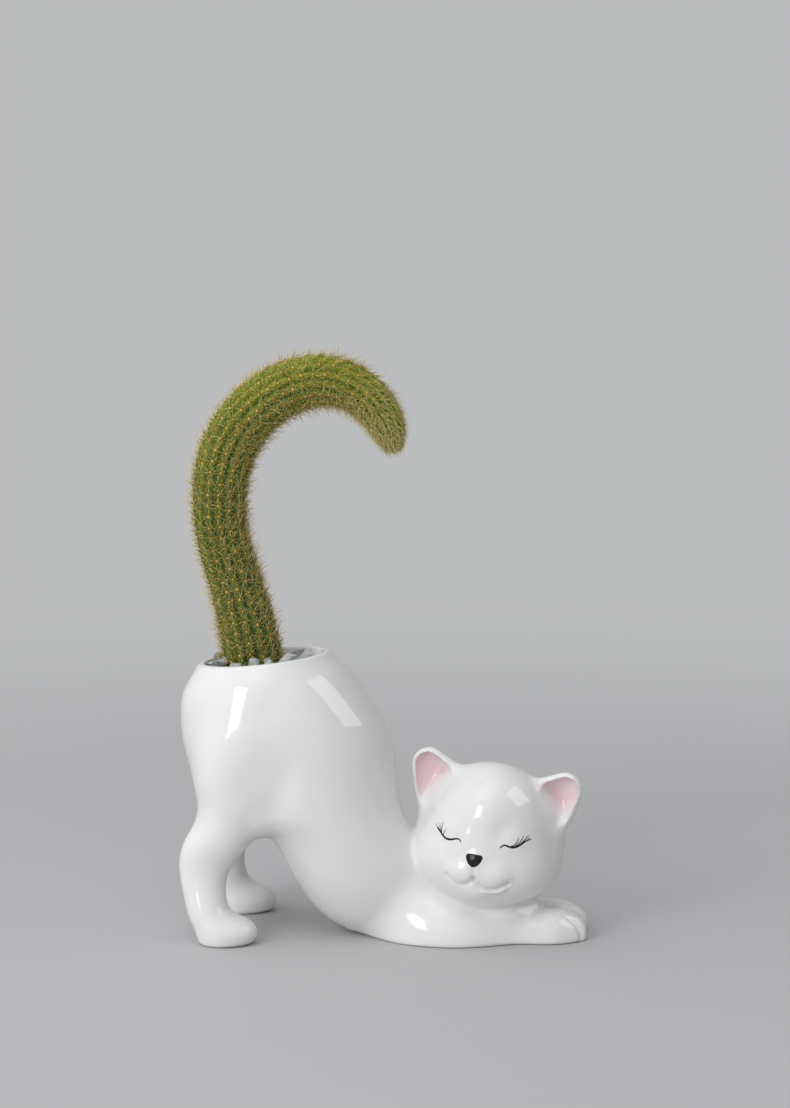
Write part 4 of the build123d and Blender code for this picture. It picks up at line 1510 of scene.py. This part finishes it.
def soil_material(name):
    """Dark crumbly potting soil with paler flecks."""
    made, shader = material(name, (0.03, 0.02, 0.012), 0.95)
    lump = patches(made, 420.0, 6.0, 0.7)
    earth = blend_colours(made, lump, (0.016, 0.011, 0.008), (0.060, 0.042, 0.028))
    fleck = levels(made, place_noise(made, 1100.0, 2.0), 0.72, 0.76)
    coat(made, shader, blend_colours(made, fleck, earth, (0.26, 0.20, 0.13)))
    bump(made, shader, 800.0, 6.0, 0.9, 0.0012)
    return made


def root_material():
    """Pale brown root bark with lengthwise streaks."""
    made, shader = material("root_bark", (0.35, 0.24, 0.14), 0.85)
    streak = patches(made, 260.0, 5.0, 0.7)
    coat(made, shader, blend_colours(made, streak, (0.20, 0.12, 0.06), (0.46, 0.34, 0.20)))
    bump(made, shader, 700.0, 4.0, 0.7, 0.0006)
    return made


def dress_node(name, made):
    """A solid that stays as it is, with a finer material."""
    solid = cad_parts[name]
    for slot in solid.material_slots:
        slot.link = "OBJECT"
        slot.material = made


# The stage: floor, light and camera

CAMERA_PLACE = (0.1365, -1.3602, 0.351)
CAMERA_PITCH = math.radians(6.22)
CAMERA_YAW = math.radians(5.5)
LENS = 84.9
SENSOR = 36.0
FLOOR_COLOUR = (0.50, 0.50, 0.505)
BACKDROP = (0.50, 0.505, 0.51)
FLOOR_FADE = (0.25, 1.3)

# The soft light from all round: its brighter side, and its strength away from that side and towards it
SKY_SIDE = (-0.75, -0.45, 0.48)
SKY_STRENGTH = (0.12, 0.86)

# The area lights: azimuth and height in degrees, distance, size and power
LIGHT_TARGET = (0.0, 0.0, 0.09)
LIGHTS = (
    ("window_left", -34, 22, 1.7, (0.62, 0.95), 9.4),
    ("window_right", 84, 38, 1.8, (0.9, 0.9), 6.5),
    ("overhead", -30, 74, 1.9, (1.6, 1.6), 6.5),
)


def seen_rays(made):
    """1 for rays from the camera, from a gloss or through glass, else 0."""
    path = node(made, "ShaderNodeLightPath").outputs
    seen = path["Is Camera Ray"]
    for kind in ("Is Glossy Ray", "Is Transmission Ray"):
        seen = node(made, "ShaderNodeMath", {0: seen, 1: path[kind]}, operation="MAXIMUM").outputs["Value"]
    return seen


def floor_material():
    """A pale matt floor that fades into the backdrop's tone away from the object."""
    made, shader = material("pale_floor", FLOOR_COLOUR, 0.8)
    shades = [tuple(value * share for value in FLOOR_COLOUR) for share in (0.985, 1.015)]
    coat(made, shader, blend_colours(made, place_noise(made, 3.0), *shades))
    where = node(made, "ShaderNodeTexCoord").outputs["Object"]
    away = node(made, "ShaderNodeVectorMath", {0: where}, operation="LENGTH").outputs["Value"]
    far = node(made, "ShaderNodeMath", {0: levels(made, away, *FLOOR_FADE), 1: seen_rays(made)},
               operation="MULTIPLY").outputs["Value"]
    glow = node(made, "ShaderNodeEmission", {"Color": (*BACKDROP, 1), "Strength": 1.0}).outputs["Emission"]
    mix = node(made, "ShaderNodeMixShader", {0: far, 1: shader.outputs["BSDF"], 2: glow})
    link(made, mix.outputs["Shader"], made.node_tree.nodes["Material Output"].inputs["Surface"])
    return made


def build_floor():
    """A broad disc under the planter, of rings with these radii in metres."""
    rings, spokes = (0.6, 1.2, 2.4, 5.0, 12.0), 64
    turn = 2 * math.pi * np.arange(spokes) / spokes
    circle = np.stack((np.cos(turn), np.sin(turn), np.zeros(spokes)), 1)
    vertices = np.concatenate([np.zeros((1, 3)), *(circle * radius for radius in rings)])
    faces = np.concatenate([fan(0, 1, spokes), ring_faces(len(rings), spokes, 1)])
    floor = add_mesh("floor", vertices / MM, faces, floor_material())


def build_world():
    """Soft light, stronger from the upper left, and the backdrop's tone for rays that look past the floor."""
    world = bpy.data.worlds.new("studio")
    bpy.context.scene.world = world
    world.use_nodes = True
    way = node(world, "ShaderNodeTexCoord").outputs["Generated"]
    facing = node(world, "ShaderNodeVectorMath", {0: way, 1: SKY_SIDE}, operation="DOT_PRODUCT")
    facing = facing.outputs["Value"]
    soft = world.node_tree.nodes["Background"]
    soft.inputs["Color"].default_value = (0.97, 0.98, 1.0, 1)
    link(world, levels(world, facing, -1.0, 1.0, *SKY_STRENGTH), soft.inputs["Strength"])
    seen = node(world, "ShaderNodeBackground", {"Color": (*BACKDROP, 1), "Strength": 1.0})
    backs = {1: soft.outputs["Background"], 2: seen.outputs["Background"]}
    mix = node(world, "ShaderNodeMixShader", {0: seen_rays(world), **backs})
    link(world, mix.outputs["Shader"], world.node_tree.nodes["World Output"].inputs["Surface"])


def add_light(name, azimuth, height, distance, size, power):
    """A rectangular soft light that faces the planter; azimuth is from the camera's side, to the right."""
    light = bpy.data.lights.new(name, "AREA")
    light.shape = "RECTANGLE"
    light.size, light.size_y = size
    light.energy = power
    holder = add_object(name, light)
    turn, rise = math.radians(azimuth), math.radians(height)
    away = (math.cos(rise) * math.sin(turn), -math.cos(rise) * math.cos(turn), math.sin(rise))
    holder.location = [middle + distance * part for middle, part in zip(LIGHT_TARGET, away)]
    holder.rotation_euler = (math.radians(90) - rise, 0, turn)
    return holder


def build_lights():
    """A window-like light on the left, a mirrored-only one on the right and a soft one overhead."""
    holders = {light[0]: add_light(*light) for light in LIGHTS}
    holders["window_right"].visible_diffuse = False


def build_camera():
    """The camera at the photograph's viewing angle."""
    camera = bpy.data.cameras.new("camera")
    camera.lens = LENS
    camera.sensor_width = SENSOR
    camera.sensor_fit = "AUTO"
    holder = add_object("camera", camera)
    holder.location = CAMERA_PLACE
    holder.rotation_euler = (math.radians(90) - CAMERA_PITCH, 0, CAMERA_YAW)
    bpy.context.scene.camera = holder


build_camera()
build_world()
build_lights()
build_floor()
black_glaze_material()
build_cat()
build_nose()
build_eyes()
build_stem()
build_pads()
build_spines()
build_gravel()
build_soil()
dress_node("potting_soil", soil_material("potting_soil"))
dress_node("cactus_roots", root_material())

bpy.context.scene.view_settings.view_transform = "Standard"
